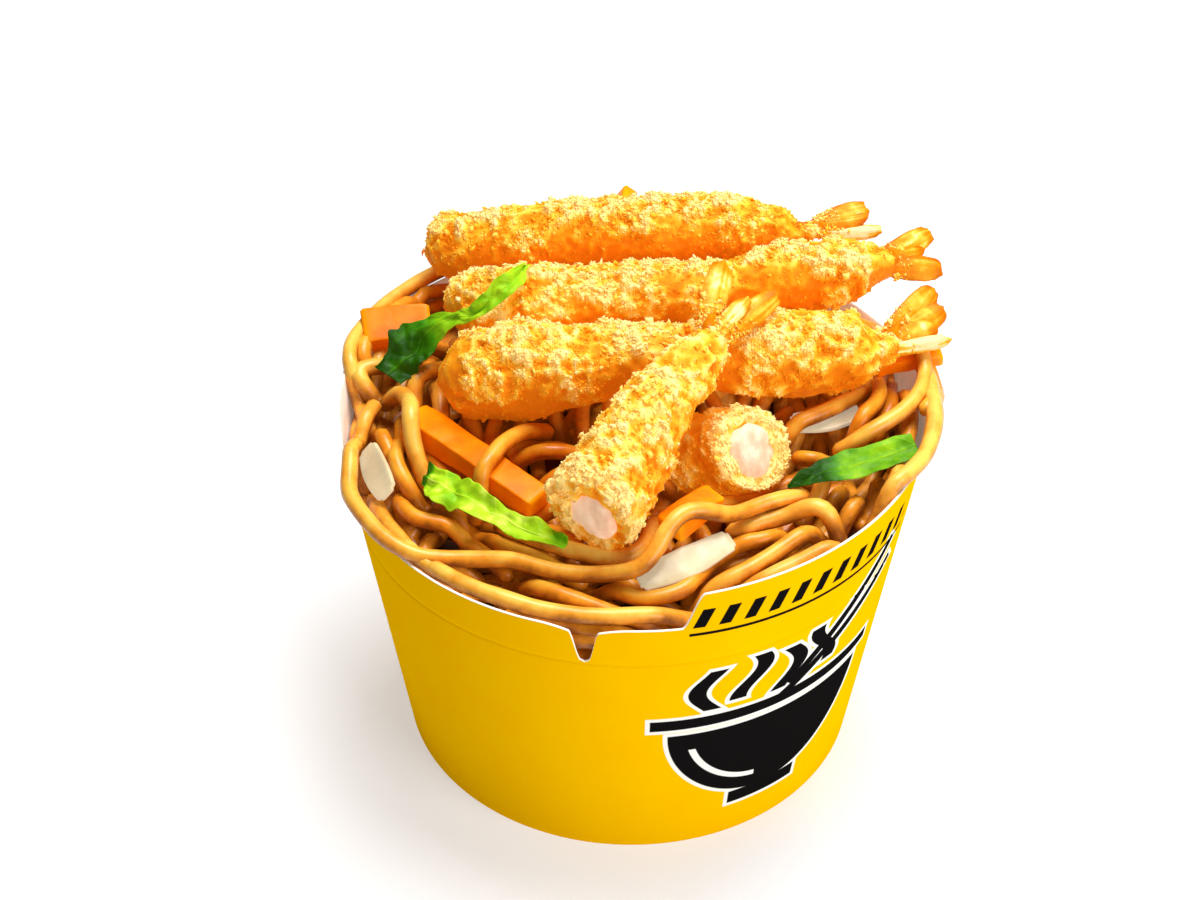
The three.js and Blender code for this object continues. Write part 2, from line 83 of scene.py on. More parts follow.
def cloud(points, size, seed=0):
    # smooth random values from -1 to 1 through space, in lumps of a given size
    q = np.asarray(points, float) / size + 31.7 * seed + 500
    cell = np.floor(q).astype(np.int64)
    f = q - cell
    f = f * f * (3 - 2 * f)
    total = np.zeros(len(q))
    for corner in product((0, 1), repeat=3):
        c = cell + corner
        mixed = (c[:, 0] * 73856093) ^ (c[:, 1] * 19349663) ^ (c[:, 2] * 83492791)
        mixed = (mixed ^ (mixed >> 15)) * 2246822519 & 0xFFFFFFFF
        mixed = (mixed ^ (mixed >> 13)) * 3266489917 & 0xFFFFFFFF
        weight = np.prod(np.where(corner, f, 1 - f), axis=1)
        total += weight * ((mixed ^ (mixed >> 16)) / 2147483648 - 1)
    return total


def ridges(points, size, seed=0):
    # sharp crests between smooth hollows, from 0 to 1
    return 1 - np.abs(cloud(points, size, seed))


def throughPoints(points, spacing):
    # a smooth route through a few points, as even steps
    p = np.array(points, float)
    p = np.vstack([2 * p[0] - p[1], p, 2 * p[-1] - p[-2]])
    t = np.linspace(0, 1, 24, endpoint=False)[:, None]
    parts = []
    for a, b, c, d in zip(p, p[1:], p[2:], p[3:]):
        bend = (2 * a - 5 * b + 4 * c - d) * t**2 + (3 * b - a - 3 * c + d) * t**3
        parts.append(0.5 * (2 * b + (c - a) * t + bend))
    return evenly(np.vstack([*parts, p[-2:-1]]), spacing)


def bezier(points, count=160):
    a, b, c = np.array(points, float)
    t = np.linspace(0, 1, count)[:, None]
    return a * (1 - t) ** 2 + 2 * b * t * (1 - t) + c * t**2


def lengthAlong(route):
    gaps = np.linalg.norm(np.diff(route, axis=0), axis=1)
    return np.concatenate([[0], np.cumsum(gaps)])


def shareAlong(route):
    along = lengthAlong(route)
    return along / along[-1]


def evenly(route, spacing):
    along = lengthAlong(route)
    steps = np.linspace(0, along[-1], max(4, round(along[-1] / spacing) + 1))
    return np.stack([np.interp(steps, along, axis) for axis in route.T], axis=1)


def fullTurn(sides):
    return np.linspace(0, 2 * math.pi, sides, endpoint=False)


# Meshes
def crossings(route, roll=0.0):
    # at each step of a route, the way to its side and the way up
    ahead = unit(np.gradient(route, axis=0))
    side = unit(np.cross(ahead, (0, 0, 1)))
    top = np.cross(side, ahead)
    roll = np.broadcast_to(np.radians(roll), len(route))[:, None]
    return side * np.cos(roll) + top * np.sin(roll), top * np.cos(roll) - side * np.sin(roll)


def loft(route, width, height, sides, squareness=2.0, roll=0.0):
    # rings of points round a route, closed at both ends; squareness 2 is an ellipse and 8 a soft box
    side, top = crossings(route, roll)
    turn = fullTurn(sides)
    across, up = (np.sign(a) * np.abs(a) ** (2 / squareness) for a in (np.cos(turn), np.sin(turn)))
    width, height = (np.broadcast_to(a, len(route))[:, None, None] for a in (width, height))
    rings = width * across[:, None] * side[:, None] + height * up[:, None] * top[:, None]
    return (route[:, None] + rings).reshape(-1, 3), tubeFaces(len(route), sides)


def tubeFaces(count, sides):
    i, j = np.meshgrid(np.arange(count - 1), np.arange(sides), indexing="ij")
    j2 = (j + 1) % sides
    quads = np.stack([i * sides + j, (i + 1) * sides + j, (i + 1) * sides + j2, i * sides + j2], axis=-1)
    faces = quads.reshape(-1, 4).tolist()
    faces.append(list(range(sides)))
    faces.append(list(range(count * sides - 1, (count - 1) * sides - 1, -1)))
    return faces


def sheet(place, across, along, thickness):
    # a thin sheet with both faces split alike; place gives the middle surface at shares u and v
    u, v = np.meshgrid(np.linspace(0, 1, across + 1), np.linspace(0, 1, along + 1))
    middle = place(u.ravel(), v.ravel()).reshape(along + 1, across + 1, 3)
    normal = unit(np.cross(np.gradient(middle, axis=1), np.gradient(middle, axis=0)))
    rim = np.minimum(np.minimum(u, 1 - u) * 6, np.minimum(v, 1 - v) * 12)
    offset = (0.5 * thickness * np.sqrt(np.clip(rim, 0.04, 1)))[..., None] * normal
    points = np.concatenate([(middle + offset).reshape(-1, 3), (middle - offset).reshape(-1, 3)])
    row, count = across + 1, (across + 1) * (along + 1)
    faces = []
    for j, i in product(range(along), range(across)):
        a = j * row + i
        faces.append([a, a + 1, a + row + 1, a + row])
        faces.append([count + a + row, count + a + row + 1, count + a + 1, count + a])
    border = list(range(across)) + [j * row + across for j in range(along)]
    border += [along * row + i for i in range(across, 0, -1)] + [j * row for j in range(along, 0, -1)]
    for a, b in zip(border, border[1:] + border[:1]):
        faces.append([b, a, count + a, count + b])
    return points, faces, u.ravel(), v.ravel()


def joined(shapes):
    # several (points, faces) shapes as one
    points, faces, start = [], [], 0
    for shapePoints, shapeFaces in shapes:
        points.append(shapePoints)
        faces += [[start + corner for corner in face] for face in shapeFaces]
        start += len(shapePoints)
    return np.concatenate(points), faces


def addObject(name, data):
    made = bpy.data.objects.new(name, data)
    bpy.context.scene.collection.objects.link(made)
    return made


def makePiece(name, points, faces, finishes, nodes, values=None):
    # a piece from points in millimetres, riding with the whole in place of plain nodes
    mesh = bpy.data.meshes.new(name)
    mesh.from_pydata(((points + tubMiddle) / 1000).tolist(), [], faces)
    for key, numbers in (values or {}).items():
        made = mesh.attributes.new(key, "FLOAT", "POINT")
        made.data.foreach_set("value", np.asarray(numbers, np.float32))
    mesh.polygons.foreach_set("use_smooth", [True] * len(mesh.polygons))
    for finish in finishes:
        mesh.materials.append(finish.material)
    piece = addObject(name, mesh)
    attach(piece, bodyName)
    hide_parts(*nodes)
    return piece


bodyName = next(iter(frame["bodies"]))


# Materials
def tint(red, green, blue):
    # a screen colour from 0 to 255, as the light it gives back
    parts = [c / 255 for c in (red, green, blue)]
    linear = [c / 12.92 if c <= 0.04045 else ((c + 0.055) / 1.055) ** 2.4 for c in parts]
    return (*linear, 1)


def mathMethod(operation, swapped=False):
    # a method of Wire that adds one Math node
    def method(self, *others):
        terms = (*others, self) if swapped else (self, *others)
        return self.finish.node("Math", {"operation": operation}, dict(enumerate(terms)))

    return method


class Wire:
    # the output of a node, which can be added, multiplied and so on
    def __init__(self, finish, socket):
        self.finish = finish
        self.socket = socket

    __add__ = __radd__ = mathMethod("ADD")
    __mul__ = __rmul__ = mathMethod("MULTIPLY")
    __sub__ = mathMethod("SUBTRACT")
    __rsub__ = mathMethod("SUBTRACT", swapped=True)
    __truediv__ = mathMethod("DIVIDE")
    __pow__ = mathMethod("POWER")
    __abs__ = mathMethod("ABSOLUTE")
    sine = mathMethod("SINE")
    least = mathMethod("MINIMUM")
    most = mathMethod("MAXIMUM")

    def below(self, edge, blur=0.15):
        # 1 where the number is under an edge, 0 over it
        terms = {0: (edge - self) / blur, 1: 0.5}
        return self.finish.node("Math", {"operation": "ADD", "use_clamp": True}, terms)


class Finish:
    # one material, built node by node; its glow is an emission strength and a screen colour: painted light on
    # the food and inside the card, an even brightness on the floor
    def __init__(self, name, glow=None, **fixed):
        if glow:
            fixed.update(Emission_Strength=glow[0], Emission_Color=tint(*glow[1:]))
        self.material = bpy.data.materials.new(name)
        self.material.use_nodes = True
        self.nodes = self.material.node_tree.nodes
        self.links = self.material.node_tree.links
        self.shader = self.nodes["Principled BSDF"]
        for key, value in fixed.items():
            self.shader.inputs[key.replace("_", " ")].default_value = value

    def node(self, kind, settings=None, inputs=None, output=0):
        made = self.nodes.new("ShaderNode" + kind)
        for key, value in (settings or {}).items():
            if key == "stops":
                self.setStops(made.color_ramp, value)
            else:
                setattr(made, key, value)
        for key, value in (inputs or {}).items():
            self.feed(made.inputs[key], value)
        return Wire(self, made.outputs[output])

    def setStops(self, ramp, stops):
        while len(ramp.elements) < len(stops):
            ramp.elements.new(0.5)
        for element, (place, *screenColor) in zip(ramp.elements, stops):
            element.position = place
            element.color = tint(*screenColor)

    def feed(self, socket, value):
        if isinstance(value, Wire):
            self.links.new(value.socket, socket)
        else:
            socket.default_value = value

    def place(self):
        return self.node("TexCoord", output="Object")

    def number(self, name):
        # a number stored at the mesh's points
        return self.node("Attribute", {"attribute_name": name}, output="Fac")

    def noise(self, size, detail=3.0, roughness=0.55, stretch=None):
        # soft random patches of a size in millimetres
        place = self.place()
        if stretch:
            place = self.node("Mapping", inputs={"Vector": place, "Scale": stretch})
        inputs = {"Vector": place, "Scale": 1000 / size, "Detail": detail, "Roughness": roughness}
        return self.node("TexNoise", inputs=inputs, output="Fac")

    def mix(self, factor, a, b, blend="MIX"):
        return self.node("Mix", {"data_type": "RGBA", "blend_type": blend}, {0: factor, 6: a, 7: b}, output=2)

    def ramp(self, value, *stops):
        # colours along a number; each stop is its place, then red, green and blue from 0 to 255
        return self.node("ValToRGB", {"stops": stops}, {"Fac": value}, output="Color")

    def color(self, wire):
        self.feed(self.shader.inputs["Base Color"], wire)

    def roughness(self, wire):
        self.feed(self.shader.inputs["Roughness"], wire)

    def bump(self, height, depth, strength=1.0):
        # relief of a depth in millimetres
        inputs = {"Height": height, "Distance": depth / 1000, "Strength": strength}
        self.feed(self.shader.inputs["Normal"], self.node("Bump", inputs=inputs, output="Normal"))


# The card tub
tub = {
    "baseRadius": 61.3,
    "creaseRadius": 71.0,
    "creaseHeight": 73.0,
    "lowFlap": 12.5,  # flaps beside the slots, above the score
    "tongue": 26.0,  # and in their middles
    "card": 0.7,
    "notches": [-8.3, 171.7],  # degrees round from the front, growing to the right
    "slot": [1.0, 3.6],  # half-width at its bottom and mouth
    "slotBottom": 0.8,  # above the score
    "shoulderReach": 11.0,
    "shoulderShare": 0.25,
    "crown": 0.09,
    "tongues": [(9.6, 3.8, 150.4, 3.8), (-170, 3.8, -58, 34)],  # from, climb, to, climb
    "corners": [9.6, 13.4, 146.6, 150.4, -168, -92, -58],  # where the edge bends and needs closer points
    "edgeRound": 0.16,
    "scoreDepth": 0.22,
    "scoreWidth": 0.8,
    "seam": -108.0,  # where the card's end is glued over
    "seamFade": 16.0,
    "overlap": 0.5,
}
rimLow = tub["creaseHeight"] + tub["lowFlap"]


def wallRadius(z):
    return tub["baseRadius"] + (tub["creaseRadius"] - tub["baseRadius"]) / tub["creaseHeight"] * z


def turned(a, b):
    return (a - b + 540) % 360 - 180


def rimHeight(azimuth):
    azimuth = np.asarray(azimuth, float)
    height = np.full(azimuth.shape, rimLow)
    for start, startRise, end, endRise in tub["tongues"]:
        half = (end - start) / 2
        past = turned(azimuth, start + half)
        climb = smoothStep(half + past, 0, startRise) * smoothStep(half - past, 0, endRise)
        crowned = tub["tongue"] * (1 - tub["crown"] * np.minimum(1, np.abs(past) / half) ** 2)
        height += (crowned - tub["lowFlap"]) * climb
    share = tub["shoulderShare"]
    for notch in tub["notches"]:
        away = np.radians(np.abs(turned(azimuth, notch))) * wallRadius(rimLow)
        slot = 1 - smoothStep(away, *tub["slot"])
        shoulder = np.maximum(0, 1 - away / tub["shoulderReach"]) ** 2
        height -= (tub["lowFlap"] - tub["slotBottom"]) * ((1 - share) * slot + share * shoulder)
    return height


printed = {
    "middle": 33.0,  # degrees round from the front
    "radius": 67.0,
    "scale": 1.26,
    "halo": 0.9,  # white left round the black
    "bowl": (36.0, 23.0),  # height of its edge and radius
    "bars": [(8.5, 11.6, 1.9), (26.5, 39.4, 1.5)],  # its foot and edge: half-length, height, half-thickness
    "sticks": [(36, 0.0), (43, 4.5)],  # lean and shift up
    "dashes": (-22.0, 33.0),  # degrees from the middle of the print
    "dashHeight": 88.5,
    "dashLevel": 88,  # height at which their lengths are true
}


def cardOutside():
    # varnished yellow card, printed with a bowl, its steam and a pair of sticks
    finish = Finish("card", Roughness=0.5, Specular_IOR_Level=0.0)
    place = finish.node("SeparateXYZ", inputs={0: finish.place()}).socket.node.outputs
    x, y, z = (Wire(finish, socket) * 1000 for socket in place)
    azimuth = finish.node("Math", {"operation": "ARCTAN2"}, {0: x - tubMiddle[0], 1: tubMiddle[1] - y})
    # the same print on both halves of the tub
    terms = {0: azimuth - math.radians(printed["middle"]), 1: math.pi / 2, 2: -math.pi / 2}
    wrapped = finish.node("Math", {"operation": "WRAP"}, terms)
    black, white = bowlPrint(wrapped * (printed["radius"] / printed["scale"]), z / printed["scale"])
    black = black.most(edgeDashes(wrapped * wallRadius(printed["dashLevel"]), z))
    yellow = finish.ramp(finish.noise(14, 2), (0.3, 255, 191, 0), (0.7, 255, 196, 0))
    paper = finish.mix(white, yellow, tint(250, 248, 238))
    finish.color(finish.mix(black, paper, tint(20, 18, 18)))
    finish.bump(finish.noise(0.9, 4) * 0.6 + finish.noise(0.25, 2) * 0.4, 0.02, 0.5)
    return finish


def both(distance):
    # where a distance says inside the black, and inside its white halo
    return distance.below(0), distance.below(printed["halo"])


def bowlPrint(s, h):
    # what is black and what is white, from millimetres round the tub and up it
    bowlTop, bowlRadius = printed["bowl"]
    dish = (s * s + (h - bowlTop) * (h - bowlTop)) ** 0.5
    shapes = [both((dish - bowlRadius).most(h - bowlTop))]
    for half, height, thick in printed["bars"]:
        shapes.append(both((abs(s) - half).most(abs(h - height) - thick)))
    for i in range(4):
        wave = s - (8.2 * i - 15.5) - (h * 0.36 + 1.3 * i).sine() * 2.4
        shapes.append(both((abs(wave) - 1.75).most(abs(h - (bowlTop + 12.4 + (i % 2) * 1.5)) - 5.8)))
    for lean, shift in printed["sticks"]:
        c, k = math.cos(math.radians(lean)), math.sin(math.radians(lean))
        along = (s - 14) * c + (h - 50 - shift) * k
        across = (h - 50 - shift) * c - (s - 14) * k
        shapes.append(both((abs(across) - 1.15).most(abs(along) - 17)))
    ink, halo = shapes[0]
    for moreInk, moreHalo in shapes[1:]:
        ink, halo = ink.most(moreInk), halo.most(moreHalo)
    glint = (abs(dish - 18.6) - 0.7).most(h - 31).most(s + 3).below(0)
    return ink - glint, halo.most(glint)


def edgeDashes(s, h):
    # a row of slanted bars, long and short, along the edge of the tongue
    low, high = (math.radians(a) * wallRadius(printed["dashLevel"]) for a in printed["dashes"])
    h = h - printed["dashHeight"]
    leaning = s - h * 0.35
    beat = leaning.finish.node("Math", {"operation": "PINGPONG"}, {0: leaning, 1: 3.1})
    bars = (beat - 1.5).most(abs(h) - 3.1)
    line = abs(h + 5.4) - 0.5
    return bars.least(line).most(abs(s - (low + high) / 2) - (high - low) / 2).below(0)


def cardInside():
    # bare card: off-white, with short fibres, and a faint white glow painted in as light so its shaded inside
    # reads white
    finish = Finish("cardInside", (0.16, 255, 240, 214), Roughness=0.75)
    fibres = finish.noise(1.6, 4, 0.6, (1, 1, 0.3))
    finish.color(finish.ramp(fibres, (0.25, 236, 230, 216), (0.75, 250, 247, 240)))
    finish.bump(fibres, 0.05, 0.5)
    return finish


def makeTub():
    columns = [np.arange(-180, 180, 0.9), [tub["seam"] - 0.05, tub["seam"] + 0.05]]
    columns += [notch + np.arange(-5, 5.01, 0.2) for notch in tub["notches"]]
    columns += [corner + np.arange(-3, 3.1, 0.4) for corner in tub["notches"] + tub["corners"]]
    columns = np.unique(np.round(np.concatenate(columns), 2))
    columns = columns[(columns >= -180) & (columns < 180)]
    rim = rimHeight(columns)
    score, half = tub["creaseHeight"], tub["scoreWidth"] / 2
    rounded, card, low = tub["edgeRound"], tub["card"], score + half
    # rings as heights and how far each lies in: up the outside, over the edge and down the inside
    rings = []
    for z in (0, 0.5, 3, 10, 20, 30, 40, 50, 60, 68, 71, score - 2 * half, score - half, score, low):
        rings.append((z, tub["scoreDepth"] * max(0, 1 - abs(z - score) / half)))
    climb = [low + (rim - rounded - low) * share for share in (0.1, 0.2, 0.32, 0.45, 0.6, 0.75, 0.88, 0.96)]
    rings += [(z, 0) for z in climb + [rim - rounded]]
    outsideRings = len(rings)
    rings += [(rim - 0.3 * rounded, 0.3 * rounded), (rim, rounded), (rim, card - rounded)]
    rings += [(z, card) for z in [rim - rounded] + climb[::-1] + [score, 60, 40, 20, 6, 0]]
    overlap = (columns >= tub["seam"]) * np.clip(1 - (columns - tub["seam"]) / tub["seamFade"], 0, 1)
    azimuth = np.radians(columns)
    points = []
    for k, (z, inset) in enumerate(rings):
        z = np.broadcast_to(z, len(columns))
        radius = wallRadius(z) - inset + tub["overlap"] * overlap * (k < outsideRings)
        points.append(np.stack([radius * np.sin(azimuth), -radius * np.cos(azimuth), z], axis=1))
    count, row = len(rings), len(columns)
    i, j = np.meshgrid(np.arange(count), np.arange(row), indexing="ij")
    i2, j2 = (i + 1) % count, (j + 1) % row
    faces = np.stack([i * row + j, i * row + j2, i2 * row + j2, i2 * row + j], axis=-1).reshape(-1, 4)
    finishes = [cardOutside(), cardInside()]
    piece = makePiece("tubWall", np.concatenate(points), faces.tolist(), finishes, ["carton_wall"])
    bare = (i.ravel() >= outsideRings - 1).astype(int)
    piece.data.polygons.foreach_set("material_index", bare)
    base = frame["nodes"]["carton_base"]
    base.data.materials.clear()
    base.data.materials.append(finishes[1].material)


makeTub()
print("tub made")


# The heap of noodles
heap = {
    "top": 98.0,
    "rise": 0.17,  # slope up to the back
    "edgeRise": 14.0,
    "edgeLeft": (35, 110),  # degrees over which its edge climbs
    "edgeRight": (15, 70),
    "coreDepth": 13.0,
    "coreLumps": 1.6,
    "grid": 0.5,
    "reach": 86.0,
    "radius": (2.0, 2.3),
    "deepest": 9.0,  # where the painted shade is darkest, under the heap's surface
    "fillers": 150,
    "tries": 12,
    "packed": 2.4,  # how far under the heap's surface it may still lie open
    "leftOpen": 0.02,  # share of it that may stay open
    "seenReach": 71.0,  # it is filled within this of the axis
    "seenDepth": 4.0,  # and where no prawn's underside lies deeper than this
    "fillerLength": (90, 180),
    "sink": 0.3,
    "uneven": 1.5,  # waves of the heap's surface
    "stiff": 6.0,  # a strand bridges gaps of about twice this length
    "dive": (6.0, 12.0),  # a strand's ends go down among the others: how far, over what length
    "topDive": (4.0, 8.0),
    "clear": 0.2,  # from the card
    "underPrawn": 0.3,
    "underSlice": 0.2,
    "overSlice": 0.1,
    "overhang": 6.0,
    "step": 1.5,
    "sides": 9,
    "seed": 12,
}
nowhere = 1000.0  # a height that nothing reaches


def heapHeight(x, y):
    azimuth = np.abs(np.degrees(np.arctan2(x, -y)))
    left, right = smoothStep(azimuth, *heap["edgeLeft"]), smoothStep(azimuth, *heap["edgeRight"])
    edge = rimLow + heap["edgeRise"] * np.where(x < 0, left, right)
    outward = smoothStep(np.hypot(x, y) / tub["creaseRadius"], 0.5, 1)
    return between(heap["top"] + heap["rise"] * y, edge, outward)


gridCount = round(2 * heap["reach"] / heap["grid"]) + 1
gridLine = np.linspace(-heap["reach"], heap["reach"], gridCount)
gridX, gridY = np.meshgrid(gridLine, gridLine, indexing="ij")


def cloudOver(x, y, size, seed):
    # smooth random values over places seen from above
    spots = np.stack([np.ravel(x), np.ravel(y), np.zeros(np.size(x))], axis=1)
    return cloud(spots, size, seed).reshape(np.shape(x))


def coreHeight(x, y):
    return heapHeight(x, y) - heap["coreDepth"] + heap["coreLumps"] * cloudOver(x, y, 9, 3)


def gridSpots(route):
    return np.round((route[:, :2] + heap["reach"]) / heap["grid"]).astype(int).T


def nodesOf(kind):
    return [name for name in frame["nodes"] if name.startswith(kind)]


def castNodes(names, fromBelow):
    # height of the lowest or highest face of some solids over each square of the grid
    found = np.full(gridX.shape, nowhere if fromBelow else -nowhere)
    way = Vector((0, 0, 1 if fromBelow else -1))
    start = -1.0 if fromBelow else 1.0
    nearer = min if fromBelow else max
    for name in names:
        mesh = frame["nodes"][name].data
        tree = BVHTree.FromPolygons([v.co for v in mesh.vertices], [p.vertices for p in mesh.polygons])
        low, high = (1000 * np.array(corner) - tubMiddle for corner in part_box(name))
        rows = np.flatnonzero((gridLine >= low[0]) & (gridLine <= high[0]))
        lines = np.flatnonzero((gridLine >= low[1]) & (gridLine <= high[1]))
        for i, j in product(rows, lines):
            spot = (np.array([gridLine[i], gridLine[j], 0]) + tubMiddle) / 1000
            hit = tree.ray_cast(Vector((spot[0], spot[1], start)), way)[0]
            if hit is not None:
                found[i, j] = nearer(found[i, j], 1000 * hit.z)
    return found


class Weave:
    # strands laid from the top of the heap downwards, each close under those already laid
    def __init__(self, ceiling):
        self.ceiling = ceiling

    def footprint(self, route, radius):
        # the grid's squares round each step, and how far the skin lies from the middle line over them
        reach = math.ceil(radius / heap["grid"])
        steps = np.arange(-reach, reach + 1)
        dx, dy = (a.ravel() for a in np.meshgrid(steps, steps, indexing="ij"))
        away = heap["grid"] * np.hypot(dx, dy)
        near = away < radius
        i, j = gridSpots(route)
        i = np.clip(i[:, None] + dx[near], 0, gridCount - 1)
        j = np.clip(j[:, None] + dy[near], 0, gridCount - 1)
        return i, j, np.sqrt(radius**2 - away[near] ** 2)

    def under(self, route, radius, roof=None):
        # highest that a strand's middle line can lie
        i, j, cap = self.footprint(route, radius)
        return ((self.ceiling if roof is None else roof)[i, j] - cap).min(axis=1)

    def over(self, route, radius, ground):
        i, j, cap = self.footprint(route, radius)
        return (ground[i, j] + cap).max(axis=1)

    def lay(self, route, radius):
        i, j, cap = self.footprint(route, radius)
        np.minimum.at(self.ceiling, (i, j), route[:, 2:3] - cap)


def dive(count, depth, reach):
    # how far a strand of some steps goes down towards its ends
    steps = np.arange(count) * heap["step"]
    return depth * (1 - smoothStep(np.minimum(steps, steps[::-1]), 0, reach))


def springy(wanted, low, high, passes=4):
    # a smooth strand between its two limits
    reach = round(heap["stiff"] / heap["step"])
    kernel = np.hanning(2 * reach + 3)[1:-1]
    kernel /= kernel.sum()
    z = wanted
    for _ in range(passes):
        z = np.convolve(np.pad(z, reach, mode="edge"), kernel, "valid")
        z = np.maximum(np.minimum(z, high), low)
    return np.convolve(np.pad(z, 2, mode="edge"), (0.1, 0.2, 0.4, 0.2, 0.1), "valid")


def passTopping(wanted, low, high, over, under):
    # a strand that meets a topping goes over or under it, whichever is nearer
    change = np.diff(np.concatenate([[0], (over > -nowhere / 2).astype(int), [0]]))
    for first, last in zip(np.flatnonzero(change == 1), np.flatnonzero(change == -1)):
        run = slice(first, last)
        if np.mean(wanted[run] - (over[run] + under[run]) / 2) > 0:
            low[run] = np.maximum(low[run], over[run])
        else:
            high[run] = np.minimum(high[run], under[run])


def keepInside(route, radius, overhang):
    # draws a strand in from the card, and lets it out over the edge only where it is high enough
    x, y, z = route.T
    away = np.hypot(x, y)
    rim = np.maximum(rimHeight(np.degrees(np.arctan2(x, -y))), rimLow)
    overEdge = smoothStep(z - rim - radius, -2.0, 0.0)
    limit = wallRadius(z) - tub["card"] - radius - heap["clear"] + overhang * overEdge
    soft = np.where(away > limit - 2, limit - 2 + 2 * np.tanh((away - limit + 2) / 2), away)
    route[:, :2] *= (soft / np.maximum(away, 1e-6))[:, None]


def wander(draw, middle, length):
    # a strand's way seen from above: round the heap near the card, and any way in its middle
    steps = int(length / heap["step"])
    along = np.arange(steps) * heap["step"]
    away = max(math.hypot(*middle), 1)
    far = min(1, away / 68)
    side = draw.choice([-1, 1])
    bend = side * (far**3 / away + draw.normal(0, 0.006))
    beat = 2 * math.pi / draw.uniform(40, 90)
    waver = draw.uniform(0.004, 0.034 - 0.018 * far) * np.sin(beat * along + draw.uniform(0, 6.3))
    heading = math.atan2(middle[1], middle[0]) + side * math.pi / 2 + draw.normal(0, 1.0 - 0.65 * far)
    turning = np.cumsum(bend + waver) * heap["step"]
    heading = heading + turning - turning[steps // 2]
    x = np.cumsum(np.cos(heading)) * heap["step"]
    y = np.cumsum(np.sin(heading)) * heap["step"]
    x, y = x - x[steps // 2] + middle[0], y - y[steps // 2] + middle[1]
    inward = np.minimum(1, tub["creaseRadius"] / np.maximum(np.hypot(x, y), 1))
    route = np.stack([x, y, heapHeight(x * inward, y * inward) - 3], axis=1)
    keepInside(route, heap["radius"][1] + draw.uniform(0, 1.0), 0)
    return route


def layFillers(weave, target, seen, draw):
    # each new strand goes where the heap still lies open, on the best of a few ways
    strands = []
    for _ in range(heap["fillers"]):
        radius = draw.uniform(*heap["radius"])
        openHere = seen & (weave.ceiling > target - heap["packed"])
        spots = np.flatnonzero(openHere)
        if len(spots) < heap["leftOpen"] * seen.sum():
            break
        picks = draw.choice(spots, 8)
        pick = picks[np.argmax((weave.ceiling - target).ravel()[picks])]
        middle = (gridX.ravel()[pick], gridY.ravel()[pick])
        best = None
        for _ in range(heap["tries"]):
            route = wander(draw, middle, draw.uniform(*heap["fillerLength"]))
            i, j = gridSpots(route)
            high = weave.under(route, radius)
            depth = target[i, j] - radius - high
            gain = np.mean(openHere[i, j]) - 0.05 * np.mean(np.minimum(depth, 10))
            if best is None or gain > best[0]:
                best = (gain, route, high)
        route, high = best[1:]
        high = high - dive(len(high), *heap["dive"])
        lowest = heapHeight(route[:, 0], route[:, 1]) - heap["coreDepth"]
        route[:, 2] = springy(high, np.full(len(high), -nowhere), high).clip(lowest)
        keepInside(route, radius, 0)
        weave.lay(route, radius)
        strands.append((route, radius))
    print(len(strands), "strands laid under the top ones;", len(spots), "squares still open")
    return strands


# Strands that hang over the card's edge, as places that each passes through: right, back and up
hanging = [
    [(71, 20, 100), (73, 13, 102), (74, 7, 102), (72, -1, 102), (68, -7, 101), (62, -12, 100), (55, -15, 98),
     (50, -15, 95)],
    [(-44, 58, 99), (-52, 54, 100), (-60, 45, 100), (-67, 34, 101), (-71.5, 22, 102), (-72.5, 12, 101),
     (-69, 3, 97), (-66, -6, 92)],
    [(66, 24, 99), (72, 16, 101), (75, 6, 102), (75, -5, 102), (74, -15, 102), (71, -25, 100), (66, -33, 97),
     (59, -39, 91), (53, -43, 86)],
    [(68, 24, 98), (75, 13, 101), (77, 5, 101), (76, -2, 100), (72, -9, 97)],
]

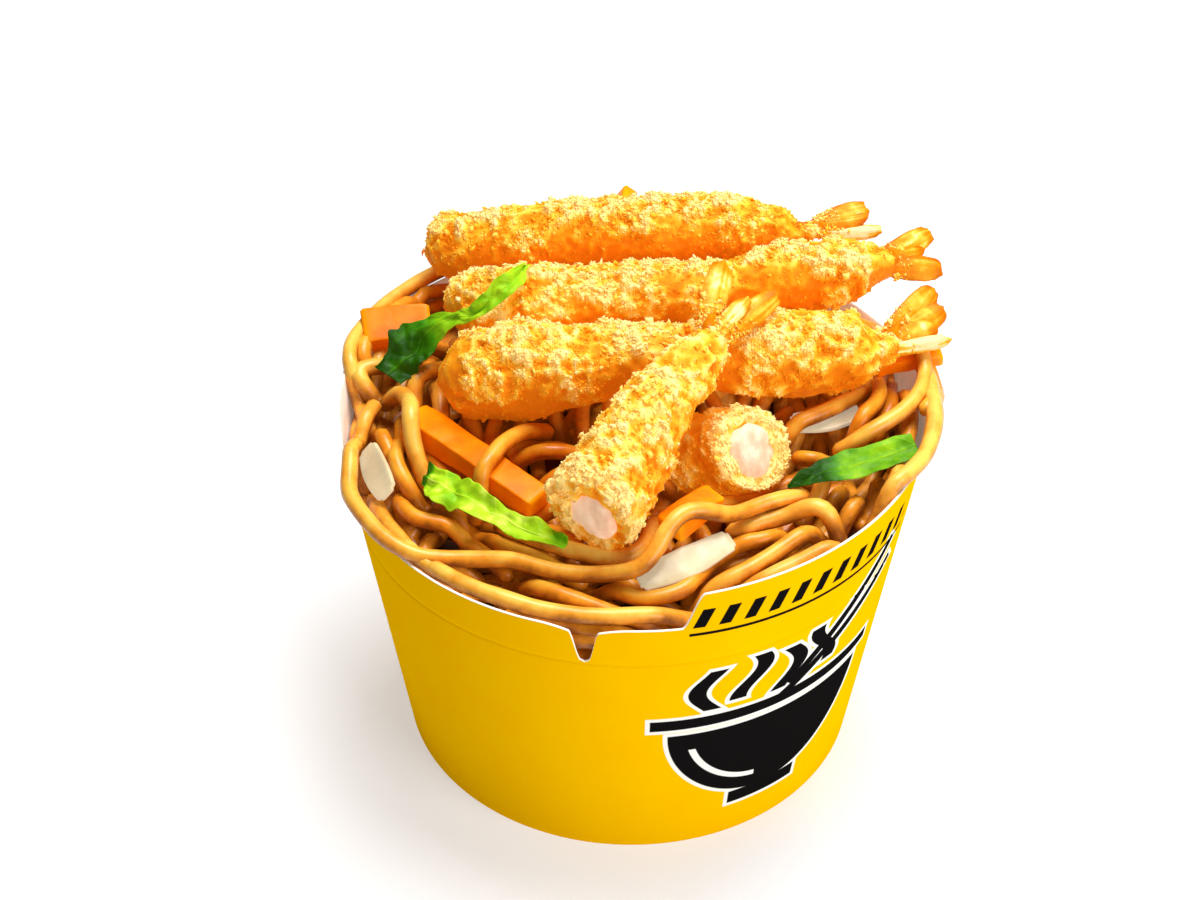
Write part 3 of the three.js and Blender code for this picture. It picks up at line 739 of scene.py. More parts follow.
# The other strands on top, the topmost first
topStrands = [
    [(-65, 2, 97), (-67, -6, 96), (-69, -15, 94), (-69, -23, 92), (-68, -31, 91), (-64, -38, 90),
     (-58, -45, 89), (-50, -49, 87), (-39, -49, 86), (-28, -50, 87), (-17, -54, 87), (-6, -56, 88),
     (2, -57, 91), (6, -54, 94), (9, -50, 98), (13, -46, 99), (18, -44, 98), (24, -41, 94), (31, -36, 93),
     (43, -30, 95)],
    [(-60, 19, 97), (-64, 13, 99), (-69, 10, 99), (-70, 8, 99), (-68, 6, 99), (-61, 4, 98), (-57, -1, 98),
     (-55, -8, 96), (-54, -16, 94), (-51, -22, 91), (-48, -26, 87)],
    [(-20, -7, 95), (-26, -12, 97), (-31, -19, 98), (-34, -25, 97), (-36, -29, 96), (-37, -33, 91),
     (-37, -36, 87)],
    [(65, 18, 97), (63, 9, 99), (62, 0, 99), (57, -9, 98), (52, -14, 97), (45, -17, 96), (40, -15, 93)],
    [(23, -39, 89), (28, -39, 91), (33, -37, 92), (39, -36, 93), (45, -37, 94), (51, -41, 95),
     (55, -44, 92)],
    [(-32, -34, 87), (-28, -40, 89), (-19, -45, 88), (-9, -49, 88), (-2, -50, 88), (3, -46, 88),
     (5, -39, 88), (7, -32, 88)],
    [(48, -21, 93), (46, -27, 95), (43, -32, 93), (40, -36, 89)],
    [(-58, -1, 94), (-58, -10, 94), (-58, -19, 92), (-54, -26, 90), (-47, -30, 90), (-38, -36, 89),
     (-28, -44, 87), (-18, -50, 86), (-10, -53, 84)],
    [(-57, -24, 88), (-56, -30, 89), (-52, -36, 88), (-43, -38, 87), (-36, -43, 86), (-28, -50, 83)],
    [(-64, -22, 86), (-60, -34, 85), (-54, -44, 86), (-48, -51, 86), (-40, -57, 86), (-30, -62, 86),
     (-20, -65, 85), (-8, -66, 84), (4, -65, 84), (16, -62, 82)],
    [(-12, -50, 83), (-5, -56, 85), (4, -60, 85), (12, -58, 85), (16, -53, 86), (23, -45, 88),
     (33, -42, 90), (39, -36, 90), (44, -28, 90)],
    [(12, -61, 81), (18, -57, 85), (27, -53, 87), (36, -47, 89), (43, -42, 92), (50, -37, 93),
     (56, -29, 92)],
    [(22, -58, 83), (30, -56, 87), (40, -52, 89), (50, -47, 93), (59, -40, 96), (64, -32, 97),
     (65, -22, 96), (62, -12, 94)],
    [(61, -24, 96), (58, -31, 97), (54, -37, 95), (50, -42, 91)],
    [(-26, -50, 83), (-20, -57, 85), (-11, -61, 84), (0, -63, 84), (10, -63, 84), (20, -60, 84),
     (30, -56, 86)],
    [(-47, 53, 98), (-52, 49, 99), (-58, 44, 99), (-63, 38, 98), (-66, 30, 95)],
    [(-52, 49, 99), (-62, 36, 100), (-68, 23, 100), (-71, 10, 99), (-71, -2, 97), (-69, -12, 92),
     (-66, -20, 86)],
    [(-57, 38, 99), (-63, 27, 99), (-67, 15, 99), (-67, 3, 96), (-65, -7, 91), (-62, -14, 86)],
    [(-47, 16, 98), (-51, 12, 99), (-55, 8, 98), (-56, 2, 96), (-57, -4, 92)],
    [(-51, 11, 97), (-49, 4, 96), (-48, -3, 94)],
    [(-58, 4, 94), (-53, 0, 95), (-46, -1, 94)],
    [(-71, 8, 95), (-70, -2, 95), (-70, -12, 93), (-69, -22, 89)],
    [(-65, -1, 93), (-63, -9, 93), (-59, -18, 90)],
    [(-53, -5, 93), (-51, -13, 93), (-46, -21, 91), (-41, -27, 87)],
    [(-30, -17, 91), (-25, -16, 94), (-19, -16, 94), (-10, -14, 93)],
    [(-31, -13, 92), (-25, -11, 93), (-11, -12, 94)],
    [(67, 17, 97), (66, 8, 98), (65, 0, 97), (61, -8, 95)],
    [(60, 40, 98), (67, 28, 98), (71, 16, 97), (71.5, 5, 96), (70, -6, 95), (66, -17, 94), (60, -27, 92)],
    [(62, 34, 93), (69, 20, 92), (71, 8, 92), (70, -4, 92), (66, -15, 91)],
    [(62, 17, 96), (59, 6, 98), (53, -2, 97), (45, -8, 95), (36, -12, 93)],
    [(-30, -61, 81), (-18, -64, 83), (-4, -67, 83), (10, -65, 82), (22, -62, 82)],
    [(-22, -65, 81), (-8, -69, 82), (6, -69, 82), (18, -66, 82)],
]


def layTop(weave, rim, sides, draw):
    # the strands with routes of their own, over or under the toppings that they meet
    strands = []
    for places in topStrands[:2] + hanging + topStrands[2:]:
        route = throughPoints(places, heap["step"])
        radius = draw.uniform(*heap["radius"])
        inside = places not in hanging
        if inside:
            keepInside(route, radius, heap["overhang"])
        wanted = route[:, 2].copy()
        low, high = weave.over(route, radius, rim), weave.under(route, radius)
        for top, bottom in sides:
            passTopping(wanted, low, high, weave.over(route, radius, top), weave.under(route, radius, bottom))
        wanted -= dive(len(wanted), *heap["topDive"])
        route[:, 2] = springy(wanted, low, high, 2)
        if inside:
            keepInside(route, radius, heap["overhang"])
        weave.lay(route, radius)
        strands.append((route, radius))
    return strands


def makeNoodles():
    draw = np.random.default_rng(heap["seed"])
    prawnUnder = castNodes(nodesOf("prawn"), True) - heap["underPrawn"]
    sides = []
    for names in map(nodesOf, ("carrot", "leaf", "onion")):
        top, bottom = castNodes(names, False), castNodes(names, True)
        sides.append((top + heap["overSlice"], bottom - heap["underSlice"]))
    away = np.hypot(gridX, gridY)
    edge = rimHeight(np.degrees(np.arctan2(gridX, -gridY)))
    onCard = np.abs(away - wallRadius(edge) + tub["card"] / 2) < tub["card"]
    weave = Weave(prawnUnder.copy())
    over = layTop(weave, np.where(onCard, edge + heap["clear"], -nowhere), sides, draw)
    surface = heapHeight(gridX, gridY)
    target = surface - heap["sink"] + heap["uneven"] * cloudOver(gridX, gridY, 17, 8)
    target = np.minimum.reduce([target, prawnUnder] + [bottom for top, bottom in sides])
    weave.ceiling = np.minimum(weave.ceiling, target)
    seen = (away < heap["seenReach"]) & (prawnUnder > surface - heap["seenDepth"])
    under = layFillers(weave, target, seen, draw)
    finish = noodleSkin()
    half = len(under) // 2
    for name, strands in (("Deep", under[half:]), ("Middle", under[:half]), ("Top", over)):
        strandPiece("noodles" + name, strands, draw, finish)


def strandPiece(name, strands, draw, finish):
    sides = heap["sides"]
    shapes, tones, deeps, ups = [], [], [], []
    for route, radius in strands:
        length = lengthAlong(route)
        ripple = cloud(route, 11, 2) * 0.05 + cloud(route, 4, 5) * 0.02
        ends = np.sqrt(np.clip((np.minimum(length, length[-1] - length) + 0.4) / 1.9, 0, 1))
        size = radius * (1 + ripple) * ends
        flat = 1 + 0.05 * cloud(route, 15, 7)
        shapes.append(loft(route, size * flat, size / flat, sides, roll=30 * cloud(route, 20, 4)))
        tones.append(np.full(len(route) * sides, draw.uniform(0, 1)))
        ups.append((shapes[-1][0][:, 2] - np.repeat(route[:, 2], sides)) / radius)
        deeps.append(np.repeat(heapHeight(route[:, 0], route[:, 1]) - route[:, 2], sides))
    points, faces = joined(shapes)
    # how deep each strand lies under the heap's surface and how high each point sits on its ring; the finish
    # paints shade from both
    deep = np.clip(np.concatenate(deeps) / heap["deepest"], 0, 1)
    values = {"tone": np.concatenate(tones), "deep": deep, "up": np.concatenate(ups)}
    makePiece(name, points, faces, [finish], ["noodles"], values)


def noodleSkin():
    # wheat noodles glazed with a thin brown sauce, with painted shade where they lie deep and on their
    # undersides, and a faint orange glow painted in as light through them
    finish = Finish("noodles", (0.03, 236, 130, 20), Specular_IOR_Level=0.34)
    tones = [(0, 240, 168, 44), (0.35, 255, 204, 92), (0.65, 250, 188, 64), (1, 230, 152, 28)]
    light = finish.ramp(finish.number("tone"), *tones)
    # random sauce stains, plus painted shade that grows with depth in the heap and towards each strand's
    # underside
    stainAndShade = finish.noise(7, 3) + finish.number("deep") * 0.24 - finish.number("up") * 0.3 + 0.12
    stainedAndShaded = finish.ramp(stainAndShade, (0.3, 255, 254, 246), (0.55, 238, 194, 128), (0.8, 132, 72, 24))
    finish.color(finish.mix(0.9, light, stainedAndShaded, "MULTIPLY"))
    finish.roughness(finish.noise(5, 2) * 0.3 + 0.16)
    finish.bump(finish.noise(1.1, 3) * 0.7 + finish.noise(0.4, 2) * 0.3, 0.05, 0.6)
    return finish


core = {"turns": 120, "rings": 36, "low": 45.0, "high": 80.0, "clear": 2.5}  # heights, clear of the wall


def makeCore():
    # a dark sheet under the strands, painted shade for the deep gaps between them
    azimuth = fullTurn(core["turns"])
    lowReach, reach = (wallRadius(core[level]) - core["clear"] for level in ("low", "high"))
    floor = np.full(core["turns"], core["low"])
    rings = [np.stack([lowReach * np.sin(azimuth), -lowReach * np.cos(azimuth), floor], axis=1)]
    for share in np.linspace(0, 1, core["rings"])[::-1]:
        away = reach * max(share, 0.004)
        x, y = away * np.sin(azimuth), -away * np.cos(azimuth)
        rings.append(np.stack([x, y, coreHeight(x, y)], axis=1))
    faces = [face[::-1] for face in tubeFaces(len(rings), core["turns"])]
    # its finish is painted shade: dark brown with lumps
    finish = Finish("coreShade", Roughness=0.5, Specular_IOR_Level=0.05)
    depth = finish.noise(5, 4)
    finish.color(finish.ramp(depth, (0.3, 46, 22, 8), (0.6, 98, 52, 18), (0.8, 132, 78, 30)))
    finish.bump(depth, 1.2, 0.8)
    makePiece("noodleCore", np.concatenate(rings), faces, [finish], ["noodles"])


makeCore()
makeNoodles()
print("noodles laid")


# Breaded prawns: the body's line and its radii at even steps, how much of the crust has lost its crumbs,
# each lobe of the tail as its tip, width and paleness, and the slope of a cut end
prawns = [
    {
        "name": "prawn_1", "seed": 1.3, "root": 3.6, "smoothSide": 0.5, "tailCrumbs": 0.5,
        "body": [(-56, 48, 110.5), (-8, 48, 118), (44, 43, 121)],
        "girth": [9.6, 9.9, 10.4, 10, 9.2, 7],
        "fan": [((62, 50, 124), 7, 0), ((65, 45, 120.5), 4.5, 0.35), ((61, 47, 123), 4, 0)],
    },
    {
        "name": "prawn_2", "seed": 2.9, "root": 6, "smoothSide": 0.25, "tailCrumbs": 0.3,
        "body": [(-49, 24, 109), (4, 22, 110.5), (62, 28, 120.5)],
        "girth": [9, 10.2, 9.4, 8.2, 8.8, 9.2],
        "fan": [((77, 40, 123), 6.5, 0.15), ((79, 30, 118.5), 7, 0), ((75, 35, 121), 5, 0)],
    },
    {
        "name": "prawn_3", "seed": 4.7, "root": 5, "smoothSide": 0.3, "tailCrumbs": 0.4,
        "body": [(-49, 0, 102), (0, -2, 112.5), (61, 6, 109)],
        "girth": [10.5, 12.4, 10.4, 9, 12.2, 10],
        "fan": [((77, 24, 116), 7, 0), ((79.5, 19.5, 113.5), 7, 0), ((77, 15, 111.5), 6, 0.1),
                ((80, 10.5, 110), 4, 0.38)],
    },
    {
        "name": "prawn_4", "seed": 6.1, "root": 5, "smoothSide": 0.0, "tailCrumbs": 1.0, "slant": 0.35,
        "body": [(-9, -47, 98.5), (2, -29, 110.5), (17, -11, 120.5)],
        "girth": [11.7, 11.1, 10.6, 9.6, 7.8, 6],
        "fan": [((22.5, 15, 129.6), 7, 0.16), ((35.5, 6, 126.5), 6.5, 0.1), ((28, 2, 127.5), 4.5, 0.2)],
    },
    {
        "name": "prawn_5", "seed": 7.7, "root": 6, "smoothSide": 0.1, "slant": 0.0,
        "body": [(29.5, -21, 98), (23, -12, 89), (4, -4, 82)],
        "girth": [11.3, 11.4, 11.2, 10.6, 9.5, 8],
    },
]

crust = {
    "seed": 5,
    "spacing": 0.6,
    "sides": 116,
    "slim": 0.8,  # the body is this much slimmer than with its crumbs
    "lumps": 1.1,
    "clump": 0.9,
    "crags": 0.95,
    "pebbles": 0.65,
    "grit": 0.3,
    "crumbs": (8000, 110),  # how many on a body of what length
    "crumbSize": (0.3, 0.72),
    "lobeCrumbs": 1600,
    "tumbled": 0.6,  # how far a crumb may lean from lying flat
    "slantReach": 16.0,  # a slanted end fades out over this length
    "broken": [(3.5, -0.8), (1.2, -0.3), (0.3, 0.3), (0, 1.2)],  # edge of a cut: how far in, how much wider
    "tailEnd": 0.93,
    "intoTail": 0.24,
    "closing": 3.0,
}
flesh = {
    "radius": 6.3,
    "tuck": 0.2,  # crust over its side
    "proud": 2.2,
    "step": 0.5,
    "sides": 56,
    "end": 0.9,  # share of the body that it runs along
    "inner": (0.05, 0.3, 0.55, 0.8),  # rings over its end, as shares of its radius
}


def girthAt(girth, share):
    # smooth radii between those given
    step = share * (len(girth) - 1)
    i = np.minimum(np.floor(step).astype(int), len(girth) - 2)
    girth = np.array(girth, float)
    return between(girth[i], girth[i + 1], smoothStep(step - i, 0, 1))


def gridNormals(rings):
    # normals of a tube given as rings of points, all of them out or all in
    normals = np.cross(np.gradient(rings, axis=0), np.roll(rings, -1, axis=1) - np.roll(rings, 1, axis=1))
    return normals / np.maximum(np.linalg.norm(normals, axis=-1, keepdims=True), 1e-9)


def slantedTube(route, picks, along, radius, slant, sides, start=0.0):
    # rings round the picked steps of a route, set forward by start and by the slant of its first end
    side, top = crossings(route)
    route, side, top, ahead = (part[picks][:, None] for part in (route, side, top, np.cross(top, side)))
    turn = fullTurn(sides)
    ways = np.cos(turn)[:, None] * side + np.sin(turn)[:, None] * top
    fade = slant * np.clip(1 - along / crust["slantReach"], 0, 1)
    shift = np.broadcast_to(start, len(picks))[:, None] + fade[:, None] * radius[:, None] * np.sin(turn)
    rings = route + radius[:, None, None] * ways + shift[..., None] * ahead
    normals = gridNormals(rings)
    if np.sum(normals * ways) < 0:
        normals = -normals
    return rings.reshape(-1, 3), normals.reshape(-1, 3), tubeFaces(len(picks), sides)


def crumbs(spots, ways, draw):
    # thin broken flakes that mostly lie flat, half sunk in what they stick to
    count = len(spots)
    chip = np.array([(1, 0, 0), (-1, 0, 0), (0, 1, 0), (0, -1, 0), (0, 0, 1), (0, 0, -1)], float)
    belt = [(0, 2), (2, 1), (1, 3), (3, 0)]
    corners = np.array([(a, b, 4) for a, b in belt] + [(b, a, 5) for a, b in belt])
    longest = draw.uniform(*crust["crumbSize"], count)
    longest = longest * draw.choice([0.8, 1.2, 1.9], count, p=[0.6, 0.3, 0.1])
    slim = draw.uniform([0.45, 0.25], [0.9, 0.5], (count, 2))
    scale = longest[:, None] * np.column_stack([np.ones(count), slim])
    thin = unit(ways + crust["tumbled"] * draw.normal(size=(count, 3)))
    flat = unit(np.cross(thin, draw.normal(size=(count, 3))))
    turn = np.stack([flat, np.cross(thin, flat), thin], axis=2)
    rough = chip[None] * draw.uniform(0.6, 1.3, (count, 6, 1))
    points = np.einsum("nij,nkj->nki", turn, rough * scale[:, None])
    points += (spots + ways * (longest * draw.uniform(-0.1, 0.4, count))[:, None])[:, None]
    faces = corners[None] + 6 * np.arange(count)[:, None, None]
    return points.reshape(-1, 3), faces.reshape(-1, 3).tolist()


def crustTube(prawn):
    # the crust before its relief, with the radius of each ring and how far along it lies
    body = bezier(prawn["body"])
    reach = lengthAlong(body)[-1]
    if "fan" in prawn:
        toTail = between(body[-1], np.array(prawn["fan"][0][0], float), crust["intoTail"])
        body = np.vstack([body, bezier([body[-1], body[-1] + 3 * unit(body[-1] - body[-2]), toTail])[1:]])
    route = evenly(body, crust["spacing"])
    along = lengthAlong(route)
    share = np.minimum(1, along / reach)
    cut = "slant" in prawn
    inCap = np.minimum(1, along / prawn["girth"][0])
    blunt = 0.95 + 0.05 * inCap if cut else np.sqrt(np.maximum(0.001, 1 - (1 - inCap) ** 2))
    radius = girthAt(prawn["girth"], share) * blunt
    radius = between(radius, prawn["root"], smoothStep(share, crust["tailEnd"], 1) ** 2) - crust["slim"]
    past = np.maximum(0, along - reach) / max(1, along[-1] - reach)
    radius *= (1 - 0.4 * past) * np.sqrt(np.clip((along[-1] - along) / crust["closing"], 0.04, 1))
    if cut:
        # the broken face: in from the flesh, over a rounded edge and on to the side
        lip = flesh["radius"] - flesh["tuck"]
        first = [(inward, lip + wider) for inward, wider in crust["broken"]]
        first += [(0, between(first[-1][1], radius[0], share)) for share in (0.25, 0.5, 0.75, 0.92)]
    else:
        first, radius = [(0, 0.2)], np.maximum(radius, 0.5)
    inward, firstRadius = np.transpose(first)
    radius = np.concatenate([firstRadius, radius])
    start = np.concatenate([inward, np.zeros(len(route))])
    along = np.concatenate([inward, along])
    picks = [0] * len(first) + list(range(len(route)))
    tube = slantedTube(route, picks, along, radius, prawn.get("slant", 0), crust["sides"], start)
    return *tube, radius, along


def crustRelief(prawn, bare, normals, radius, along):
    # the rough points, how pale each is and how likely it carries a crumb
    up, seed, sides = normals[:, 2], prawn["seed"], crust["sides"]
    lumps = cloud(bare, 13, seed) * 0.8 + cloud(bare, 6, seed + 1) * 0.5
    patches = cloud(bare, 11, seed + 6) + 0.6 * cloud(bare, 5, seed + 7)
    patchy = smoothStep(patches + 0.5 * up + 0.6 - 1.6 * prawn["smoothSide"], -0.35, 0.6)
    crags = ridges(bare, 3.6, seed + 2) ** 2 - 0.4 + 0.5 * cloud(bare, 2.4, seed + 4)
    rough = crust["crags"] * crags + crust["pebbles"] * cloud(bare, 1.6, seed + 8)
    rough += crust["grit"] * (ridges(bare, 1.1, seed + 3) - 0.6)
    depth = crust["lumps"] * lumps + crust["clump"] * (patchy - 0.5) + (0.4 + 0.6 * patchy) * rough
    thin = np.minimum(1, radius / 4)
    # paler in crumb patches, which gather on top; and as painted light, paler on crests and darker in hollows
    pale = np.clip(0.18 + 0.26 * patchy + (0.26 + 0.22 * patchy) * rough, 0, 1)
    weight = np.repeat(radius, sides) * (0.08 + patchy**1.5 * (0.6 + crags.clip(0))) * (1 + 0.8 * up.clip(0))
    if "slant" in prawn:
        thin[:2] = 0
        nearCut = np.repeat(1 - smoothStep(along, 1, 8), sides)
        pale = np.clip(pale + 0.35 * nearCut, 0, 1)
        weight *= 1 + 2 * nearCut
        weight[:sides] = 0
    return bare + (depth * np.repeat(thin, sides))[:, None] * normals, pale, weight


def makeCrust(prawn, draw, finish, lobes):
    bare, normals, faces, radius, along = crustTube(prawn)
    points, pale, weight = crustRelief(prawn, bare, normals, radius, along)
    many, length = crust["crumbs"]
    picks = draw.choice(len(points), round(many * along[-1] / length), p=weight / weight.sum())
    spots, ways, tone = points[picks], normals[picks], pale[picks]
    if lobes:
        # crumbs cling to the roots of the tail's lobes too
        lobeSpots, lobeWays, chance = lobes
        many = round(crust["lobeCrumbs"] * prawn["tailCrumbs"])
        picks = draw.choice(len(chance), many, p=chance / chance.sum())
        spots, ways = np.concatenate([spots, lobeSpots[picks]]), np.concatenate([ways, lobeWays[picks]])
        tone = np.concatenate([tone, np.full(many, 0.45)])
    points, faces = joined([(points, faces), crumbs(spots, ways, draw)])
    chipPale = np.repeat(np.clip(tone + draw.normal(0.06, 0.09, len(spots)), 0, 1), 6)
    # which way each point faces, used for painted light in the finish: paler facing up, oranger facing down
    upper = np.concatenate([normals[:, 2], np.repeat(ways[:, 2], 6)])
    values = {"pale": np.concatenate([pale, chipPale]), "upper": upper}
    makePiece(prawn["name"] + "Crust", points, faces, [finish], [prawn["name"]], values)


def crustSkin():
    # fried crumb, golden where it is smooth and cream at its crumb patches; painted light and shade make it
    # paler at its crests and upper faces and orange in its hollows and below, and an orange glow is painted
    # in as light through it
    under = {"Subsurface_Weight": 0.4, "Subsurface_Scale": 0.003, "Subsurface_Radius": (1, 0.6, 0.3)}
    finish = Finish("crust", (0.17, 255, 158, 22), Specular_IOR_Level=0.1, **under)
    grit = finish.noise(1.3, 4, 0.6)
    # pale carries crumb patches and painted crest light and hollow shade; upper paints upward faces lighter
    value = finish.number("pale") * 1.3 + grit * 0.42 + finish.number("upper") * 0.32 - 0.47
    low = [(0.02, 232, 124, 6), (0.22, 242, 150, 16), (0.42, 248, 184, 44)]
    golden = finish.ramp(value, *low, (0.64, 253, 216, 92), (0.9, 255, 240, 158))
    deep = finish.ramp(finish.noise(9, 3), (0.35, 255, 255, 255), (0.6, 255, 232, 184), (0.85, 252, 206, 136))
    finish.color(finish.mix(0.6, golden, deep, "MULTIPLY"))
    finish.roughness(finish.noise(2.5, 2) * 0.3 + 0.45)
    finish.bump(finish.noise(0.7, 4, 0.65), 0.15, 0.7)
    return finish


def makeFlesh(prawn, finish):
    # the meat at a cut end: it stands a little out of the crust and runs on inside it
    body = bezier(prawn["body"])
    route = np.vstack([body[0] - flesh["proud"] * unit(body[1] - body[0]), body])
    route = evenly(route, flesh["step"])
    along, share = lengthAlong(route), shareAlong(route)
    kept = np.flatnonzero(share < flesh["end"])
    edge = np.sqrt(np.clip(1 - (1 - np.minimum(1, (along + 0.2) / 2.6)) ** 2, 0.03, 1))
    radius = (flesh["radius"] * edge * (1 - 0.5 * smoothStep(share, 0.5, flesh["end"])))[kept]
    radius = np.concatenate([radius[0] * np.array(flesh["inner"]), radius])
    picks = [0] * len(flesh["inner"]) + list(kept)
    points, normals, faces = slantedTube(route, picks, along[picks], radius, prawn["slant"], flesh["sides"])
    lumps = cloud(points, 5.5, prawn["seed"] + 2) * 1.2 + cloud(points, 2.2, prawn["seed"]) * 0.5
    points = points + normals * (lumps * np.minimum(1, np.repeat(radius, flesh["sides"]) / 2))[:, None]
    makePiece(prawn["name"] + "Flesh", points, faces, [finish], [prawn["name"] + "_meat"])


def fleshSkin():
    # cooked meat, pale with pinkish streaks along it, and a strong glow painted in as light so its shaded
    # face stays bright
    under = {"Subsurface_Weight": 0.3, "Subsurface_Scale": 0.003, "Subsurface_Radius": (1, 0.6, 0.45)}
    finish = Finish("flesh", (0.4, 255, 222, 184), Roughness=0.4, Specular_IOR_Level=0.2, **under)
    streaks = finish.noise(2.4, 4, 0.6, (1.0, 0.35, 0.6))
    finish.color(finish.ramp(streaks, (0.3, 196, 142, 108), (0.5, 218, 174, 146), (0.75, 238, 206, 184)))
    finish.bump(streaks, 0.35, 0.6)
    return finish


tail = {
    "tilt": -40.0,  # a lobe that points to the right leans its flat side to the front
    "thickness": 1.1,
    "sides": 44,
    "rootSides": 32,
    "step": 0.4,
    "sunk": 1.5,  # how far its root starts inside the body
    "rib": 0.6,
    "cup": 0.7,
    "frayed": 1.1,
}


def tailRoot(prawn, start, ahead):
    # the last ring of the shell, closing into the fan
    toFan = between(start, np.array(prawn["fan"][0][0], float), 0.45)
    neck = evenly(bezier([start, start + 4.5 * ahead, toFan]), tail["step"])
    t = shareAlong(neck)
    slim = prawn["root"] * (0.8 - 0.5 * t) * (1 + 0.04 * np.cos(t * 20)) * np.sqrt(np.clip(1 - t**6, 0.02, 1))
    return loft(neck, slim * 0.8, slim, tail["rootSides"]), np.repeat(0.35 + 0.3 * t, tail["rootSides"])


def tailLobe(prawn, number, start, ahead):
    # a flattened lobe with a rib down its middle and a blunt, frayed tip
    tip, width, pale = prawn["fan"][number]
    tip, seed, sides = np.array(tip, float), prawn["seed"] + number, tail["sides"]
    base = between(start, tip, 0.1)
    bend = between(base, tip, 0.45) + 1.5 * ahead + (0, 0, -0.6 if number % 2 else 0.6)
    route = evenly(bezier([base, bend, tip]), tail["step"])
    v = shareAlong(route)
    opened = smoothStep(v, 0, 0.6)
    spread = between(prawn["root"] * 0.8, width, opened) * (1 - 0.22 * smoothStep(v, 0.7, 1))
    rounded = np.sqrt(np.clip(1 - np.clip((v - 0.9) / 0.101, 0, 1) ** 2, 0.02, 1))
    side, top = crossings(route, tail["tilt"] * ahead[0])
    turn = fullTurn(sides)
    across, face = np.cos(turn), np.sign(np.sin(turn))
    thick = tail["thickness"] * 0.5 * (1.15 - 0.65 * v) * np.clip(rounded, 0.35, 1)
    rib = 1 + tail["rib"] * np.exp(-((across / 0.14) ** 2)) + 0.12 * np.cos(across * 18)
    high = face * np.sqrt(np.abs(np.sin(turn))) * rib
    cup = tail["cup"] * across**2 * opened[:, None]
    rings = route[:, None] + (0.5 * spread * rounded)[:, None, None] * across[:, None] * side[:, None]
    rings += (thick[:, None] * high - cup)[..., None] * top[:, None]
    points, ways = rings.reshape(-1, 3), gridNormals(rings).reshape(-1, 3)
    outward = np.repeat(top, sides, axis=0) * np.tile(face, len(route))[:, None]
    ways *= np.sign(np.sum(ways * outward, axis=1, keepdims=True) + 1e-9)
    worn = np.repeat(smoothStep(v, 0.78, 1), sides)
    points += (worn * tail["frayed"] * cloud(points, 1.1, seed))[:, None] * unit(tip - base)
    points += (0.25 * cloud(points, 3, number + 3))[:, None] * (0, 0, 1)
    chance = np.repeat((1 - smoothStep(v, 0.1, 0.65)) * spread, sides) + 1e-6
    edge = np.tile(np.abs(across) ** 4, len(route)) * 0.25
    streaks = np.stack([np.tile(across * 5, len(route)), np.repeat(v * 2, sides), 0 * edge], axis=1)
    edge -= 0.2 * cloud(streaks, 1, seed)
    tone = np.repeat(0.18 + 0.55 * v - 0.4 * smoothStep(v, 0.75, 1), sides) + 0.2 - edge + pale
    return (points, tubeFaces(len(route), sides)), tone, ways, chance


def makeTail(prawn, finish):
    # the root of the shell and a fan of lobes; gives the places where crumbs may cling
    body = bezier(prawn["body"])
    ahead = unit(body[-1] - body[-2])
    start = body[-1] - tail["sunk"] * ahead
    root, rootTone = tailRoot(prawn, start, ahead)
    lobes = [tailLobe(prawn, number, start, ahead) for number in range(len(prawn["fan"]))]
    shapes, tones, ways, chance = zip(*lobes)
    points, faces = joined([root, *shapes])
    values = {"tone": np.concatenate([rootTone, *tones])}
    makePiece(prawn["name"] + "Tail", points, faces, [finish], [prawn["name"] + "_tail"], values)
    return np.concatenate([shape[0] for shape in shapes]), np.concatenate(ways), np.concatenate(chance)


def shellSkin():
    # amber shell, browner at its root, its edges and its frayed tips, with a faint orange glow painted in as
    # light through it
    finish = Finish("shell", (0.06, 255, 150, 0), Roughness=0.36, Specular_IOR_Level=0.06)
    value = finish.number("tone") + finish.noise(2.6, 3) * 0.5 - 0.25
    dark = [(0.05, 160, 58, 0), (0.25, 184, 80, 0), (0.5, 206, 108, 2)]
    finish.color(finish.ramp(value, *dark, (0.72, 226, 146, 18), (0.88, 244, 192, 66), (1, 250, 220, 160)))
    finish.bump(finish.noise(1.0, 3, 0.6), 0.16, 0.6)
    return finish


def makePrawns():
    draw = np.random.default_rng(crust["seed"])
    crumbed, meat, shell = crustSkin(), fleshSkin(), shellSkin()
    for prawn in prawns:
        lobes = makeTail(prawn, shell) if "fan" in prawn else None
        makeCrust(prawn, draw, crumbed, lobes)
        if "slant" in prawn:
            makeFlesh(prawn, meat)


makePrawns()
print("prawns made")


# Carrot batons
carrots = [
    {"name": "carrot_1", "ends": [(-55, -6, 95), (-22, -34, 91.5)], "size": (8, 6), "roll": 0},
    {"name": "carrot_2", "ends": [(-70, 23.5, 101.5), (-53, 26.5, 102.5)], "size": (10, 5), "roll": 28},
    {"name": "carrot_3", "ends": [(9, -46, 94), (20, -35, 95)], "size": (7, 4.5), "roll": 0},
    {"name": "carrot_4", "ends": [(62, 12, 100), (79, 14, 102.5)], "size": (5, 3), "roll": 0},
    {"name": "carrot_5", "ends": [(-16, 66, 98), (-1, 63, 120)], "size": (7, 4.5), "roll": 0},
]


